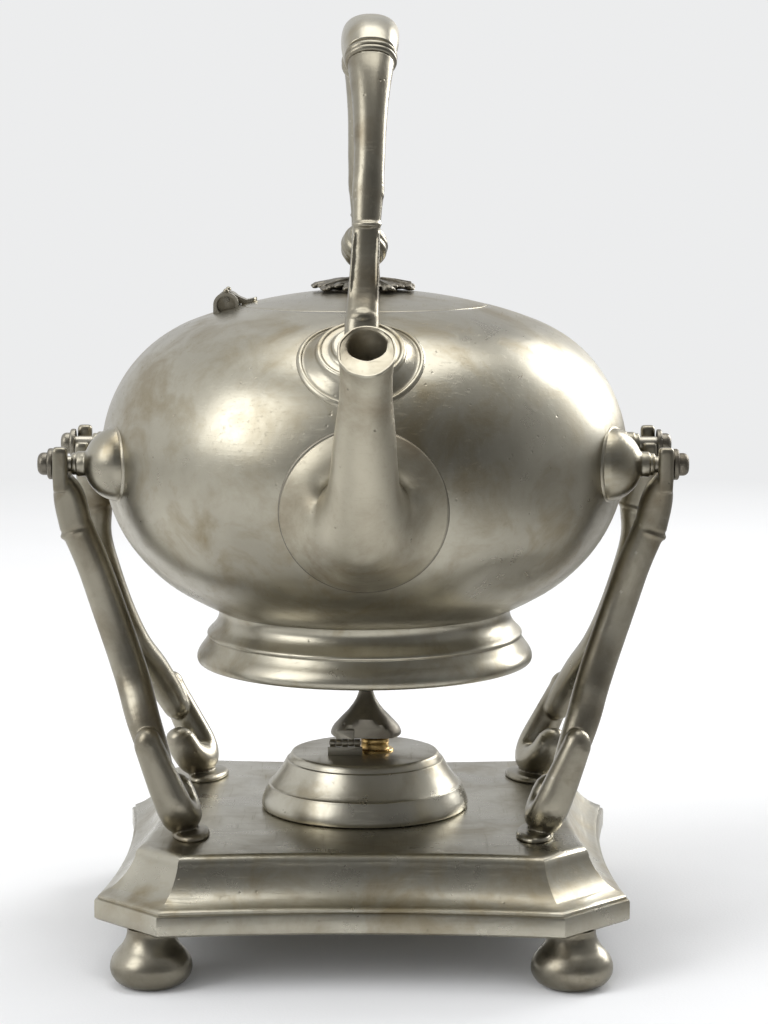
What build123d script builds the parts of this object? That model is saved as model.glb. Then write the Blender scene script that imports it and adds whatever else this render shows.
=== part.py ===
from build123d import *
from math import asin, atan2, cos, degrees, pi, radians, sin, sqrt
import os

# Spirit kettle on a four-legged stand, in millimetres.  +Z is up, the spout points to -Y,
# and the origin is on the table, midway between the four bun feet.

# ---------------------------------------------------------------- driving dimensions
# plinth: a square casting with cut corners and hollow sides
plinth_width = 200.0
plinth_depth = 196.0
plinth_wall = 3.2
foot_height = 22.0
rim_height = 8.0
rim_corner = 25.5
plate_corner = 15.0
side_hollow = 5.5
rim_step = 1.6
cove_radius = 13.2
shoulder_radius = 4.2
corner_pad_thickness = 3.0
corner_pad_margin = 11.0

# bun feet
bun_radius = 15.3
bun_height = 14.0
foot_x = 78.0
foot_y = 82.0
foot_neck_radius = 6.9
foot_collar_radius = 8.6
foot_contact_radius = 8.5
foot_stud_radius = 2.4
foot_nut_height = 3.0
foot_nut_radius = 4.2
thread_gap = 0.05

# legs
leg_foot_x = 65.5
leg_foot_y = 49.0
leg_bow = 1.4
leg_radius = 6.2
front_leg_toe = 4.0
rear_leg_toe = 17.0
scroll_half_width = 7.7
scroll_inner_rise = 1.0
scroll_outer_rise = 24.5
leg_pad_length = 27.0
leg_pad_width = 14.5
leg_pad_height = 2.2
leg_screw_radius = 2.2
leg_screw_head_radius = 4.6
leg_screw_head_height = 2.2
leg_screw_depth = 7.0

# trunnions
trunnion_y = 36.0
trunnion_drop = 0.8
spindle_radius = 3.0
spindle_clearance = 0.1
fork_gap = 8.8
fork_thickness = 6.0
fork_prong = 5.0
fork_high = 7.2
fork_low = 1.4
boss_radius = 14.4
boss_sink = 10.9
boss_collar_radius = 4.8
spindle_shoulder_radius = 4.2
spindle_shoulder_gap = 0.8
spindle_shoulder_length = 1.8
washer_gap = 0.2
washer_radius = 5.9
washer_thickness = 2.0
nut_radius = 4.3
nut_length = 3.8

# kettle body: an oval of revolution, each half made of a crown arc and a side arc
body_headroom = 13.9
body_radius = 102.4
body_upper_height = 63.5
body_lower_height = 73.5
body_upper_side = 55.0
body_lower_side = 62.0
body_wall = 1.8

# foot ring under the kettle
ring_drop = 8.9
ring_radius = 66.0
ring_neck_radius = 57.2
ring_ridge_radius = 62.0
ring_wall = 3.0

# lid
lid_radius = 47.7
lid_gap = 0.4
lid_thickness = 1.6
lid_edge = 2.0
seat_width = 3.9
seat_thickness = 2.1
seat_gap = 0.2
flange_inset = 4.5
flange_thickness = 1.6
flange_depth = 5.6
hinge_reach = 5.6
hinge_rise = 3.6
hinge_hood_radius = 4.9
hinge_hood_drop = 1.9
hinge_hood_recess = 3.6
hinge_recess_depth = 2.4
hinge_length = 17.4
hinge_centre_length = 8.0
hinge_side_gap = 0.3
hinge_knuckle_radius = 3.4
hinge_pin_radius = 1.1
hinge_pin_clearance = 0.05
hinge_ball_radius = 1.1
hinge_leaf_lap = 10.2
hinge_leaf_thickness = 1.5
rosette_radius = 21.5
rosette_lobe_radius = 5.6
rosette_lobes = 9
rosette_petal = 1.3
rosette_boss_radius = 12.5
ball_radius = 9.2
ball_rise = 16.5
finial_neck_radius = 3.4
finial_stud_radius = 2.0
finial_nut_radius = 4.6
finial_nut_height = 3.0

# handle
mount_y = 80.5
mount_radius = 23.4
mount_step_radius = 16.0
mount_hub_radius = 10.4
mount_rim_height = 1.4
mount_step_height = 3.0
mount_hub_height = 5.2
handle_lean = 0.03
grip_rise = 96.9
collar_half_width = 8.9
collar_half_depth = 7.2
grip_half_width = 10.8
grip_half_depth = 8.4

# spout
spout_base_radius = 30.3
spout_wall = 2.2
spout_reach = 36.2
mouth_rise = 61.0
mouth_slope = 41.0
strainer_hole_radius = 2.6
strainer_pitch = 9.0

# lamp
lamp_gap = 0.1
lamp_radius = 41.0
lamp_step_radius = 37.6
lamp_step_z = 7.8
lamp_shoulder_radius = 28.6
lamp_shoulder_z = 18.6
lamp_top_radius = 27.2
lamp_height = 21.9
lamp_rim_width = 4.0
lamp_wall = 1.8
lamp_base_thickness = 1.6
burner_x = 4.0
burner_y = 1.0
burner_radius = 5.6
burner_bore = 3.6
burner_rise = 5.6
burner_flange_radius = 7.4
burner_flange_height = 0.9
wick_rise = 1.6
wick_gap = 0.2

# snuffer
cap_x = 0.5
cap_y = 1.0
cap_radius = 14.0
cap_gap = 1.0
cap_height = 17.4
cap_wall = 1.0
cap_neck_radius = 2.8
knob_radius = 3.9
knob_rise = 4.1
snuffer_hinge_y = -9.3
snuffer_hinge_drop = 1.5
snuffer_barrel_radius = 1.5
snuffer_pin_radius = 0.7
snuffer_barrel_start = -13.6
snuffer_knuckle = 2.4
snuffer_knuckle_gap = 0.1
cap_front_y = -8.2
leaf_thickness = 1.0
leaf_height = 3.4

# ---------------------------------------------------------------- worked-out sizes
rim_top_z = foot_height + rim_height
plate_z = rim_top_z + cove_radius + shoulder_radius + 1.2
plinth_roof_z = plate_z - plinth_wall
full_inset = rim_step + cove_radius + shoulder_radius

lamp_z = plate_z + lamp_gap
lamp_base_radius = lamp_radius - lamp_rim_width
lamp_top_z = lamp_z + lamp_height
burner_top_z = lamp_top_z + burner_rise
cap_rim_z = burner_top_z + cap_gap
cap_neck_z = cap_rim_z + cap_height
knob_z = cap_neck_z + knob_rise
snuffer_hinge_z = cap_rim_z - snuffer_hinge_drop

body_wide_z = knob_z + knob_radius + body_headroom + body_lower_height
trunnion_z = body_wide_z - trunnion_drop
upper_side_centre = body_radius - body_upper_side
lower_side_centre = body_radius - body_lower_side


def crown_arc(side_centre, height, side_radius):
    """Radius of a crown arc that meets a side arc smoothly."""
    return (side_centre**2 + height**2 - side_radius**2) / (2 * (height - side_radius))


upper_crown = crown_arc(upper_side_centre, body_upper_height, body_upper_side)
lower_crown = crown_arc(lower_side_centre, body_lower_height, body_lower_side)
upper_drop = upper_crown - body_upper_height
lower_drop = lower_crown - body_lower_height
upper_angle = degrees(atan2(upper_side_centre, upper_drop))
lower_angle = degrees(atan2(lower_side_centre, lower_drop))
crown_edge = upper_crown * sin(radians(upper_angle))


def crown_z(radius, offset=0.0):
    """Height of the body's upper half at a distance from its axis."""
    if abs(radius) < crown_edge:
        return body_wide_z - upper_drop + sqrt((upper_crown - offset) ** 2 - radius**2)
    return body_wide_z + sqrt((body_upper_side - offset) ** 2 - (abs(radius) - upper_side_centre) ** 2)


lid_opening = lid_radius + lid_gap
ledge_z = crown_z(lid_radius) - lid_edge - seat_gap
seat_bore = lid_opening - seat_width
lid_top_z = body_wide_z + body_upper_height
body_bottom_z = body_wide_z - body_lower_height
ring_bottom_z = body_bottom_z - ring_drop
flange_radius = lid_radius - flange_inset
hinge_x = -lid_radius - hinge_reach
hinge_z = crown_z(hinge_x) + hinge_rise
hinge_leaf_end = hinge_leaf_lap - lid_radius
ball_centre_z = lid_top_z + ball_rise
grip_top_z = lid_top_z + grip_rise
spout_base_z = body_wide_z - 11.0
mouth_y = -body_radius - spout_reach
mouth_z = spout_base_z + mouth_rise
fork_inner_x = body_radius + fork_gap
boss_centre_x = body_radius - boss_sink
spindle_shoulder_end = fork_inner_x - spindle_shoulder_gap
washer_start = fork_inner_x + fork_thickness + washer_gap
nut_start = washer_start + washer_thickness
rosette_top_z = lid_top_z + 4.6


def body_form(offset):
    """Solid oval of revolution, drawn in by an offset from the outside of the body."""
    with BuildPart() as form:
        with BuildSketch(Plane.XZ):
            with BuildLine():
                CenterArc((0, body_wide_z + lower_drop), lower_crown - offset, -90, lower_angle)
                CenterArc((lower_side_centre, body_wide_z), body_lower_side - offset, lower_angle - 90, 90 - lower_angle)
                CenterArc((upper_side_centre, body_wide_z), body_upper_side - offset, 0, 90 - upper_angle)
                CenterArc((0, body_wide_z - upper_drop), upper_crown - offset, 90 - upper_angle, upper_angle)
                Line((0, lid_top_z - offset), (0, body_bottom_z + offset))
            make_face()
        revolve(axis=Axis.Z)
    return form.part


body_outside = body_form(0)


def oval(plane, half_x, half_y):
    """Oval section on a plane; every one starts at the same side, so lofts do not twist."""
    with BuildSketch(plane) as section:
        Circle(1)
        scale(by=(half_x, half_y, 1))
    return section.sketch


def tilted(point, direction):
    """Plane at a point of a path, facing along the path, with its first axis across the object."""
    along = Vector(*direction).normalized()
    across = Vector(1, 0, 0) - along * along.X
    return Plane(origin=point, x_dir=across, z_dir=along)


def path_planes(points):
    """Planes across a path, each facing from the point before it to the point after it."""
    planes = []
    for index, point in enumerate(points):
        before = points[max(index - 1, 0)]
        after = points[min(index + 1, len(points) - 1)]
        planes.append(tilted(point, Vector(*after) - Vector(*before)))
    return planes


# ---------------------------------------------------------------- stand: plinth and feet
def plinth_outline(inset, z):
    """Outline of the plinth at a height, drawn in by an inset."""
    half_x = plinth_width / 2 - inset
    half_y = plinth_depth / 2 - inset
    corner = rim_corner - (rim_corner - plate_corner) * inset / full_inset
    hollow = side_hollow * (1 - 0.3 * inset / full_inset)
    with BuildSketch(Plane.XY.offset(z)) as outline:
        with BuildLine():
            ThreePointArc((corner - half_x, -half_y), (0, hollow - half_y), (half_x - corner, -half_y))
            Line((half_x - corner, -half_y), (half_x, corner - half_y))
            ThreePointArc((half_x, corner - half_y), (half_x - hollow, 0), (half_x, half_y - corner))
            Line((half_x, half_y - corner), (half_x - corner, half_y))
            ThreePointArc((half_x - corner, half_y), (0, half_y - hollow), (corner - half_x, half_y))
            Line((corner - half_x, half_y), (-half_x, half_y - corner))
            ThreePointArc((-half_x, half_y - corner), (hollow - half_x, 0), (-half_x, corner - half_y))
            Line((-half_x, corner - half_y), (corner - half_x, -half_y))
        make_face()
    return outline.sketch


def cove_point(angle):
    """Inset and height on the hollow between the rim and the plate's shoulder."""
    turn = radians(angle)
    return rim_step + cove_radius * sin(turn), rim_top_z + 1.2 + cove_radius * (1 - cos(turn))


def shoulder_point(angle):
    """Inset and height on the round shoulder of the plate."""
    turn = radians(angle)
    start = rim_step + cove_radius
    return start + shoulder_radius * (1 - cos(turn)), plate_z - shoulder_radius * (1 - sin(turn))


cove_sections = [plinth_outline(*cove_point(angle)) for angle in (0, 25, 45, 65, 90)]
shoulder_sections = [plinth_outline(*shoulder_point(angle)) for angle in (0, 30, 60, 90)]
hollow_sections = [
    plinth_outline(plinth_wall, foot_height),
    plinth_outline(plinth_wall, rim_top_z - 1.8),
    plinth_outline(plinth_wall + 4.8, rim_top_z + 1.2),
    plinth_outline(plinth_wall + 10.3, rim_top_z + 6.2),
    plinth_outline(plinth_wall + cove_radius + rim_step, plinth_roof_z),
]
corner_reach = foot_x + foot_y - corner_pad_margin * sqrt(2)

with BuildPart() as base_plinth:
    add(plinth_outline(0, foot_height))
    extrude(amount=rim_height)
    add(plinth_outline(rim_step * 0.5, rim_top_z))
    extrude(amount=1.2)
    loft(sections=cove_sections)
    loft(sections=shoulder_sections)
    loft(sections=hollow_sections, ruled=True, mode=Mode.SUBTRACT)
    with BuildSketch(Plane.XY.offset(foot_height)):
        add(plinth_outline(plinth_wall / 2, foot_height).moved(Location((0, 0, -foot_height))))
        Rectangle(corner_reach * sqrt(2), corner_reach * sqrt(2), rotation=45, mode=Mode.SUBTRACT)
    extrude(amount=corner_pad_thickness)
    with Locations((0, 0, foot_height + corner_pad_thickness)):
        with GridLocations(2 * foot_x, 2 * foot_y, 2, 2):
            Hole(foot_stud_radius + thread_gap, depth=corner_pad_thickness)
    with Locations((0, 0, plate_z)):
        with GridLocations(2 * leg_foot_x, 2 * leg_foot_y, 2, 2):
            Hole(leg_screw_radius + thread_gap, depth=plinth_wall)
base_plinth.part.label = "base_plinth"

with BuildPart() as bun_foot:
    with BuildSketch(Plane.XZ):
        with BuildLine():
            Line((0, 0), (foot_contact_radius, 0))
            Spline(
                (foot_contact_radius, 0),
                (bun_radius, bun_height * 0.5),
                (foot_neck_radius + 1.2, bun_height),
                tangents=((1, 0.15), (-1, 0.6)),
            )
            ThreePointArc(
                (foot_neck_radius + 1.2, bun_height),
                (foot_neck_radius, bun_height + 1.8),
                (foot_neck_radius + 0.6, bun_height + 3.6),
            )
            Line((foot_neck_radius + 0.6, bun_height + 3.6), (foot_collar_radius, bun_height + 4.4))
            Line((foot_collar_radius, bun_height + 4.4), (foot_collar_radius, foot_height))
            Line((foot_collar_radius, foot_height), (foot_stud_radius, foot_height))
            Line((foot_stud_radius, foot_height), (foot_stud_radius, rim_top_z - 0.6))
            Line((foot_stud_radius, rim_top_z - 0.6), (0, rim_top_z - 0.6))
            Line((0, rim_top_z - 0.6), (0, 0))
        make_face()
    revolve(axis=Axis.Z)
bun_foot.part = bun_foot.part.moved(Location((foot_x, -foot_y, 0)))

with BuildPart() as foot_nut:
    with BuildSketch(Plane.XY.offset(foot_height + corner_pad_thickness)):
        with Locations((foot_x, -foot_y)):
            RegularPolygon(foot_nut_radius, 6)
            Circle(foot_stud_radius + thread_gap, mode=Mode.SUBTRACT)
    extrude(amount=foot_nut_height)

with BuildPart() as leg_screw:
    with BuildSketch(Plane.XY.offset(plinth_roof_z - leg_screw_head_height)):
        with Locations((leg_foot_x, -leg_foot_y)):
            Circle(leg_screw_head_radius)
    extrude(amount=leg_screw_head_height)
    chamfer(leg_screw.edges().group_by(Axis.Z)[0], leg_screw_head_height * 0.3)
    with BuildSketch(Plane.XY.offset(plinth_roof_z)):
        with Locations((leg_foot_x, -leg_foot_y)):
            Circle(leg_screw_radius)
    extrude(amount=plinth_wall + leg_screw_depth)


# ---------------------------------------------------------------- stand: legs
def leg(toe, side_y):
    """Right-hand leg; side_y is -1 at the front and 1 at the rear, toe swings the scroll inwards."""
    swing = radians(toe)
    base_z = plate_z + leg_pad_height + leg_radius - 1.0
    step_z = trunnion_z - 23.5
    step_x = fork_inner_x + fork_thickness / 2 - 5.2
    leg_lean = (step_x - 0.3 - leg_foot_x) / (step_z - plate_z)

    def spot(outward, z, bow=leg_bow):
        """Point of the leg by its distance outwards in the scroll's plane and its height."""
        across = -outward * sin(swing) * side_y
        x = leg_foot_x + across + leg_lean * (z - plate_z) + bow * sin(pi * (z - plate_z) / (step_z - plate_z))
        return (x, side_y * (leg_foot_y + outward * cos(swing)), z)

    top_outward = (trunnion_y - leg_foot_y) / cos(swing)
    fork_centre = fork_inner_x + fork_thickness / 2
    neck_z = trunnion_z - 9.5
    limb = [
        spot(scroll_half_width - 4.5, plate_z + 29),
        spot(scroll_half_width - 5.5, plate_z + 36),
        spot(-1.5, plate_z + 46),
        spot(-8.5, plate_z + 57),
        spot(-12.2, plate_z + 71),
        spot(top_outward - 0.4, plate_z + 88),
    ]
    limb.append(spot(top_outward, step_z - 14))
    limb.append((step_x, side_y * trunnion_y, step_z))
    radii = [5.4, 6.1, 6.5, 6.6, 6.6, 6.5, 6.3, 6.3]
    sleeve = [
        (step_x, side_y * trunnion_y, step_z),
        (fork_centre - 3.4, side_y * trunnion_y, neck_z - 5),
        (fork_centre - 0.8, side_y * trunnion_y, neck_z + 2),
    ]
    sleeve_sizes = [(6.1, 6.4), (5.8, 7.0), (4.2, 7.8)]
    inner = side_y * -1
    lean_turn = degrees(atan2(leg_lean, 1))
    scroll_plane = Plane(
        origin=spot(0, base_z + scroll_half_width, 0.5),
        x_dir=(-sin(swing) * side_y, side_y * cos(swing), 0),
        z_dir=Vector(-sin(swing) * side_y, side_y * cos(swing), 0).cross(Vector(leg_lean, 0, 1)),
    )
    with BuildPart() as casting:
        # lower scroll: a rod bent into a U, its ends rounded
        with BuildLine(scroll_plane) as rod:
            inner_limb = Line((-scroll_half_width, scroll_inner_rise), (-scroll_half_width, 0))
            bend = CenterArc((0, 0), scroll_half_width, 180, 180)
            outer_limb = Line((scroll_half_width, 0), (scroll_half_width, scroll_outer_rise))
        with BuildSketch(Plane(origin=rod.line @ 0, z_dir=rod.line % 0)):
            Circle(leg_radius)
        sweep(path=rod.line)
        with Locations(rod.line @ 0, rod.line @ 1):
            Sphere(leg_radius)
        # upper limb, from the fork down and out to the scroll
        for plane, radius in zip(path_planes(limb), radii):
            with BuildSketch(plane):
                Circle(radius)
        loft()
        with Locations(limb[0]):
            Sphere(radii[0])
        # sleeve between the moulded step and the fork
        for plane, (half_x, half_y) in zip(path_planes(sleeve), sleeve_sizes):
            with BuildSketch(plane):
                Ellipse(half_x, half_y)
        loft()
        # open fork that carries the spindle
        seat = spindle_radius + spindle_clearance
        outer_y = seat + fork_prong
        with BuildSketch(Plane.YZ.offset(fork_inner_x)):
            with BuildLine():
                Polyline(
                    (side_y * (trunnion_y + outer_y), trunnion_z + fork_high - fork_prong / 2),
                    (side_y * (trunnion_y + outer_y), neck_z + 2),
                    (side_y * (trunnion_y + outer_y - 2.5), neck_z - 4),
                    (side_y * (trunnion_y - outer_y + 2.5), neck_z - 4),
                    (side_y * (trunnion_y - outer_y), neck_z + 2),
                    (side_y * (trunnion_y - outer_y), trunnion_z + fork_low),
                    (side_y * (trunnion_y - seat), trunnion_z + fork_low),
                    (side_y * (trunnion_y - seat), trunnion_z),
                )
                ThreePointArc(
                    (side_y * (trunnion_y - seat), trunnion_z),
                    (side_y * trunnion_y, trunnion_z - seat),
                    (side_y * (trunnion_y + seat), trunnion_z),
                )
                Line(
                    (side_y * (trunnion_y + seat), trunnion_z),
                    (side_y * (trunnion_y + seat), trunnion_z + fork_high - fork_prong / 2),
                )
                ThreePointArc(
                    (side_y * (trunnion_y + seat), trunnion_z + fork_high - fork_prong / 2),
                    (side_y * (trunnion_y + seat + fork_prong / 2), trunnion_z + fork_high),
                    (side_y * (trunnion_y + outer_y), trunnion_z + fork_high - fork_prong / 2),
                )
            make_face()
        extrude(amount=fork_thickness)
        # clear the way for the spindle through the sleeve
        with BuildSketch(Plane.YZ.offset(fork_inner_x - 12)):
            with Locations((side_y * trunnion_y, trunnion_z)):
                Circle(spindle_shoulder_radius + 2 * spindle_clearance + 0.6)
        extrude(amount=12, mode=Mode.SUBTRACT)
        # oval pad under the scroll
        with BuildSketch(Plane.XY.offset(plate_z)):
            with Locations(Location((leg_foot_x, side_y * leg_foot_y, 0), (0, 0, toe * side_y))):
                Ellipse(leg_pad_width / 2, leg_pad_length / 2)
        extrude(amount=leg_pad_height + 1.0, taper=12)
        with Locations((leg_foot_x, side_y * leg_foot_y, plate_z)):
            with Locations(Location((0, 0, 0), (180, 0, 0))):
                Hole(leg_screw_radius + thread_gap, depth=leg_screw_depth)
    return casting.part



# ---------------------------------------------------------------- kettle: body and foot ring
strainer_spots = [
    (column * strainer_pitch + (row % 2) * strainer_pitch / 2, row * strainer_pitch * 0.866)
    for row in (-1, 0, 1)
    for column in (-1, 0, 1)
    if not (row % 2 and column == 1)
]

body_inside = body_form(body_wall)

# the body is spun in two halves, joined round its widest place
with BuildPart() as kettle_body:
    add(body_outside)
    add(body_inside, mode=Mode.SUBTRACT)
    split(bisect_by=Plane.XY.offset(body_wide_z), keep=Keep.BOTTOM)
    with BuildSketch(Plane.XZ.offset(body_radius - 12)):
        with Locations((0, spout_base_z)):
            with Locations(*strainer_spots):
                Circle(strainer_hole_radius)
    extrude(amount=24, mode=Mode.SUBTRACT)
kettle_body.part.label = "kettle_body"

with BuildPart() as kettle_shoulder:
    add(body_outside)
    add(body_inside, mode=Mode.SUBTRACT)
    split(bisect_by=Plane.XY.offset(body_wide_z), keep=Keep.TOP)
    with BuildSketch(Plane.XY.offset(ledge_z - seat_thickness)):
        Circle(lid_opening)
    extrude(amount=lid_top_z - ledge_z + seat_thickness + 5, mode=Mode.SUBTRACT)
    with BuildSketch(Plane.XY.offset(ledge_z - seat_thickness)):
        Circle(lid_opening + 2.6)
        Circle(seat_bore, mode=Mode.SUBTRACT)
    extrude(amount=seat_thickness)
    with BuildSketch(Plane.XZ.offset(-hinge_centre_length / 2 - hinge_side_gap)):
        with Locations((hinge_x, hinge_z)):
            Circle(hinge_knuckle_radius + hinge_side_gap)
    extrude(amount=hinge_centre_length + 2 * hinge_side_gap, mode=Mode.SUBTRACT)
kettle_shoulder.part.label = "kettle_shoulder"

with BuildPart() as foot_ring:
    with BuildSketch(Plane.XZ):
        with BuildLine():
            Line((ring_radius - 1.5 - ring_wall, ring_bottom_z), (ring_radius - 1.5, ring_bottom_z))
            ThreePointArc(
                (ring_radius - 1.5, ring_bottom_z),
                (ring_radius, ring_bottom_z + 3.6),
                (ring_radius - 0.8, ring_bottom_z + 6.2),
            )
            ThreePointArc(
                (ring_radius - 0.8, ring_bottom_z + 6.2),
                (ring_ridge_radius - 0.8, ring_bottom_z + 8.6),
                (ring_ridge_radius - 1.2, ring_bottom_z + 10.8),
            )
            Line((ring_ridge_radius - 1.2, ring_bottom_z + 10.8), (ring_ridge_radius, ring_bottom_z + 10.9))
            Line((ring_ridge_radius, ring_bottom_z + 10.9), (ring_ridge_radius, ring_bottom_z + 12.3))
            ThreePointArc(
                (ring_ridge_radius, ring_bottom_z + 12.3),
                (ring_neck_radius + 0.4, ring_bottom_z + 16.2),
                (ring_neck_radius + 1.6, ring_bottom_z + 23.0),
            )
            Line(
                (ring_neck_radius + 1.6, ring_bottom_z + 23.0),
                (ring_neck_radius - ring_wall, ring_bottom_z + 23.0),
            )
            Line(
                (ring_neck_radius - ring_wall, ring_bottom_z + 23.0),
                (ring_neck_radius - ring_wall, ring_bottom_z + 13.0),
            )
            Line(
                (ring_neck_radius - ring_wall, ring_bottom_z + 13.0),
                (ring_radius - 1.5 - ring_wall, ring_bottom_z),
            )
        make_face()
    revolve(axis=Axis.Z)
    add(body_outside, mode=Mode.SUBTRACT)
foot_ring.part.label = "foot_ring"


# ---------------------------------------------------------------- kettle: spout
def spout_plane(y, z, climb):
    """Plane across the spout; climb is the angle of the spout above the level."""
    return Plane(
        origin=(0, y, z),
        x_dir=(1, 0, 0),
        z_dir=(0, -cos(radians(climb)), sin(radians(climb))),
    )


face_y = -body_radius
base_r = spout_base_radius
spout_course = [
    (spout_plane(face_y + 13.9, spout_base_z - 1.5, -8), base_r * 1.221, base_r * 1.122),
    (spout_plane(face_y + 6.8, spout_base_z - 2.0, -4), base_r * 1.023, base_r * 0.957),
    (spout_plane(face_y + 0.8, spout_base_z - 1.8, 8), base_r * 0.779, base_r * 0.733),
    (spout_plane(face_y - 5.6, spout_base_z + 0.8, 29), base_r * 0.568, base_r * 0.548),
    (spout_plane(face_y - 12.8, spout_base_z + 8.0, 50), base_r * 0.439, base_r * 0.426),
    (spout_plane(face_y - 19.2, spout_base_z + 18.6, 61), base_r * 0.389, base_r * 0.376),
    (spout_plane(face_y - 24.6, spout_base_z + 31.0, 66), base_r * 0.353, base_r * 0.337),
    (spout_plane(face_y - 28.8, spout_base_z + 42.5, 66), base_r * 0.307, base_r * 0.297),
    (spout_plane(mouth_y, mouth_z, 90 - mouth_slope), 10.0, 12.0),
]
bore_lift = 2.6
bore_course = [(plane, a - spout_wall, b - spout_wall) for plane, a, b in spout_course[:-1]]
mouth_plane = spout_course[-1][0]
bore_plane = Plane(
    origin=mouth_plane.origin + mouth_plane.y_dir * bore_lift,
    x_dir=(1, 0, 0),
    z_dir=mouth_plane.z_dir,
)
bore_course.append((bore_plane, 6.8, 7.6))

with BuildPart() as spout:
    for plane, half_x, half_y in spout_course:
        add(oval(plane, half_x, half_y))
    loft()
    for plane, half_x, half_y in bore_course:
        add(oval(plane, half_x, half_y))
    loft(mode=Mode.SUBTRACT)
    add(oval(mouth_plane, 9.2, 11.2))
    extrude(amount=-0.7, mode=Mode.SUBTRACT)
    add(body_outside, mode=Mode.SUBTRACT)
spout.part.label = "spout"

# ---------------------------------------------------------------- kettle: trunnions
with BuildPart() as boss:
    with Locations(Location((boss_centre_x, -trunnion_y, trunnion_z), (0, 90, 0))):
        Sphere(boss_radius)
    with BuildSketch(Plane.YZ.offset(boss_centre_x)):
        with Locations((-trunnion_y, trunnion_z)):
            Circle(boss_collar_radius)
    extrude(amount=spindle_shoulder_end - spindle_shoulder_length - boss_centre_x)
    with BuildSketch(Plane.YZ.offset(boss_centre_x)):
        with Locations((-trunnion_y, trunnion_z)):
            Circle(spindle_shoulder_radius)
    extrude(amount=spindle_shoulder_end - boss_centre_x)
    add(body_outside, mode=Mode.SUBTRACT)
    with BuildSketch(Plane.YZ.offset(body_radius)):
        with Locations((-trunnion_y, trunnion_z)):
            Circle(spindle_radius + thread_gap)
    extrude(amount=spindle_shoulder_end - body_radius, mode=Mode.SUBTRACT)

with BuildPart() as spindle:
    with BuildSketch(Plane.YZ.offset(body_radius)):
        with Locations((-trunnion_y, trunnion_z)):
            Circle(spindle_radius)
    extrude(amount=nut_start + nut_length * 0.5 - body_radius)

with BuildPart() as washer:
    with BuildSketch(Plane.YZ.offset(washer_start)):
        with Locations((-trunnion_y, trunnion_z)):
            Circle(washer_radius)
            Circle(spindle_radius + thread_gap, mode=Mode.SUBTRACT)
    extrude(amount=washer_thickness)
    chamfer(washer.faces().sort_by(Axis.X)[-1].outer_wire().edges(), 0.5)

with BuildPart() as cap_nut:
    with BuildSketch(Plane.YZ.offset(nut_start)):
        with Locations((-trunnion_y, trunnion_z)):
            Circle(nut_radius)
    extrude(amount=nut_length)
    fillet(cap_nut.edges().sort_by(Axis.X)[-1], 2.2)
    with BuildSketch(Plane.YZ.offset(nut_start)):
        with Locations((-trunnion_y, trunnion_z)):
            Circle(spindle_radius + thread_gap)
    extrude(amount=nut_length * 0.5 + thread_gap, mode=Mode.SUBTRACT)


# ---------------------------------------------------------------- kettle: handle
def lean_point(across, y, z):
    """Point of the front of the handle, which leans a little to +X as it rises."""
    return (across + handle_lean * (z - crown_z(mount_y)), -y, z)


def handle_planes(points):
    """Planes across a run of the handle given by its distance from the axis and its height."""
    return path_planes([lean_point(0, y, z) for y, z in points])


mount_turn = degrees(asin((mount_y - upper_side_centre) / body_upper_side))
mount_place = Location((0, -mount_y, crown_z(mount_y)), (mount_turn, 0, 0))

with BuildPart() as mount_disc:
    with BuildSketch(Plane.XZ):
        with BuildLine():
            Polyline(
                (0, -9),
                (mount_radius, -9),
                (mount_radius, -0.7),
                (mount_radius - 0.9, 0.2),
                (mount_step_radius + 0.4, mount_rim_height),
                (mount_step_radius, mount_rim_height + 0.4),
                (mount_step_radius, mount_step_height - 0.5),
                (mount_step_radius - 0.6, mount_step_height),
                (mount_hub_radius, mount_step_height + 0.4),
                (mount_hub_radius, mount_hub_height - 0.6),
                (mount_hub_radius - 0.7, mount_hub_height),
                (0, mount_hub_height),
                (0, -9),
            )
        make_face()
    revolve(axis=Axis.Z)

with BuildPart() as handle_mount:
    add(mount_disc.part.moved(mount_place))
    add(body_outside, mode=Mode.SUBTRACT)

arm_foot_z = crown_z(mount_y)
lower_arm = [
    (mount_y - 1.0, arm_foot_z + 3.2),
    (mount_y - 5.0, arm_foot_z + 12.4),
    (mount_y - 9.6, arm_foot_z + 20.2),
    (mount_y - 13.6, arm_foot_z + 30.2),
    (mount_y - 16.6, arm_foot_z + 38.2),
    (mount_y - 18.8, arm_foot_z + 45.2),
]
lower_sizes = [(6.6, 5.2), (6.2, 5.6), (5.9, 4.6), (5.5, 4.1), (5.4, 4.0), (5.3, 4.1)]
upper_arm = [
    lower_arm[-1],
    (mount_y - 21.6, grip_top_z - 61.8),
    (mount_y - 25.2, grip_top_z - 50.8),
    (mount_y - 29.8, grip_top_z - 39.8),
    (mount_y - 35.6, grip_top_z - 28.8),
    (mount_y - 42.8, grip_top_z - 18.0),
]
upper_sizes = [(5.3, 4.4), (5.3, 4.6), (5.5, 5.0), (5.9, 5.4), (6.5, 5.9), (7.6, 6.6), (8.7, 7.2)]
collar_run = [
    (mount_y - 48.6, grip_top_z - 11.5),
    (mount_y - 50.6, grip_top_z - 9.6),
    (mount_y - 52.6, grip_top_z - 7.9),
]
collar_swell = [0.2, 1.0, 0.2]
grip_run = [((mount_y - 52.6) * 0.73, grip_top_z - 3.7), ((mount_y - 52.6) * 0.39, grip_top_z - 1.0), (0.0, grip_top_z)]
grip_sizes = [(9.3, 7.3), (10.4, 8.0), (10.8, 8.3), (grip_half_width, grip_half_depth)]

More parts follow.
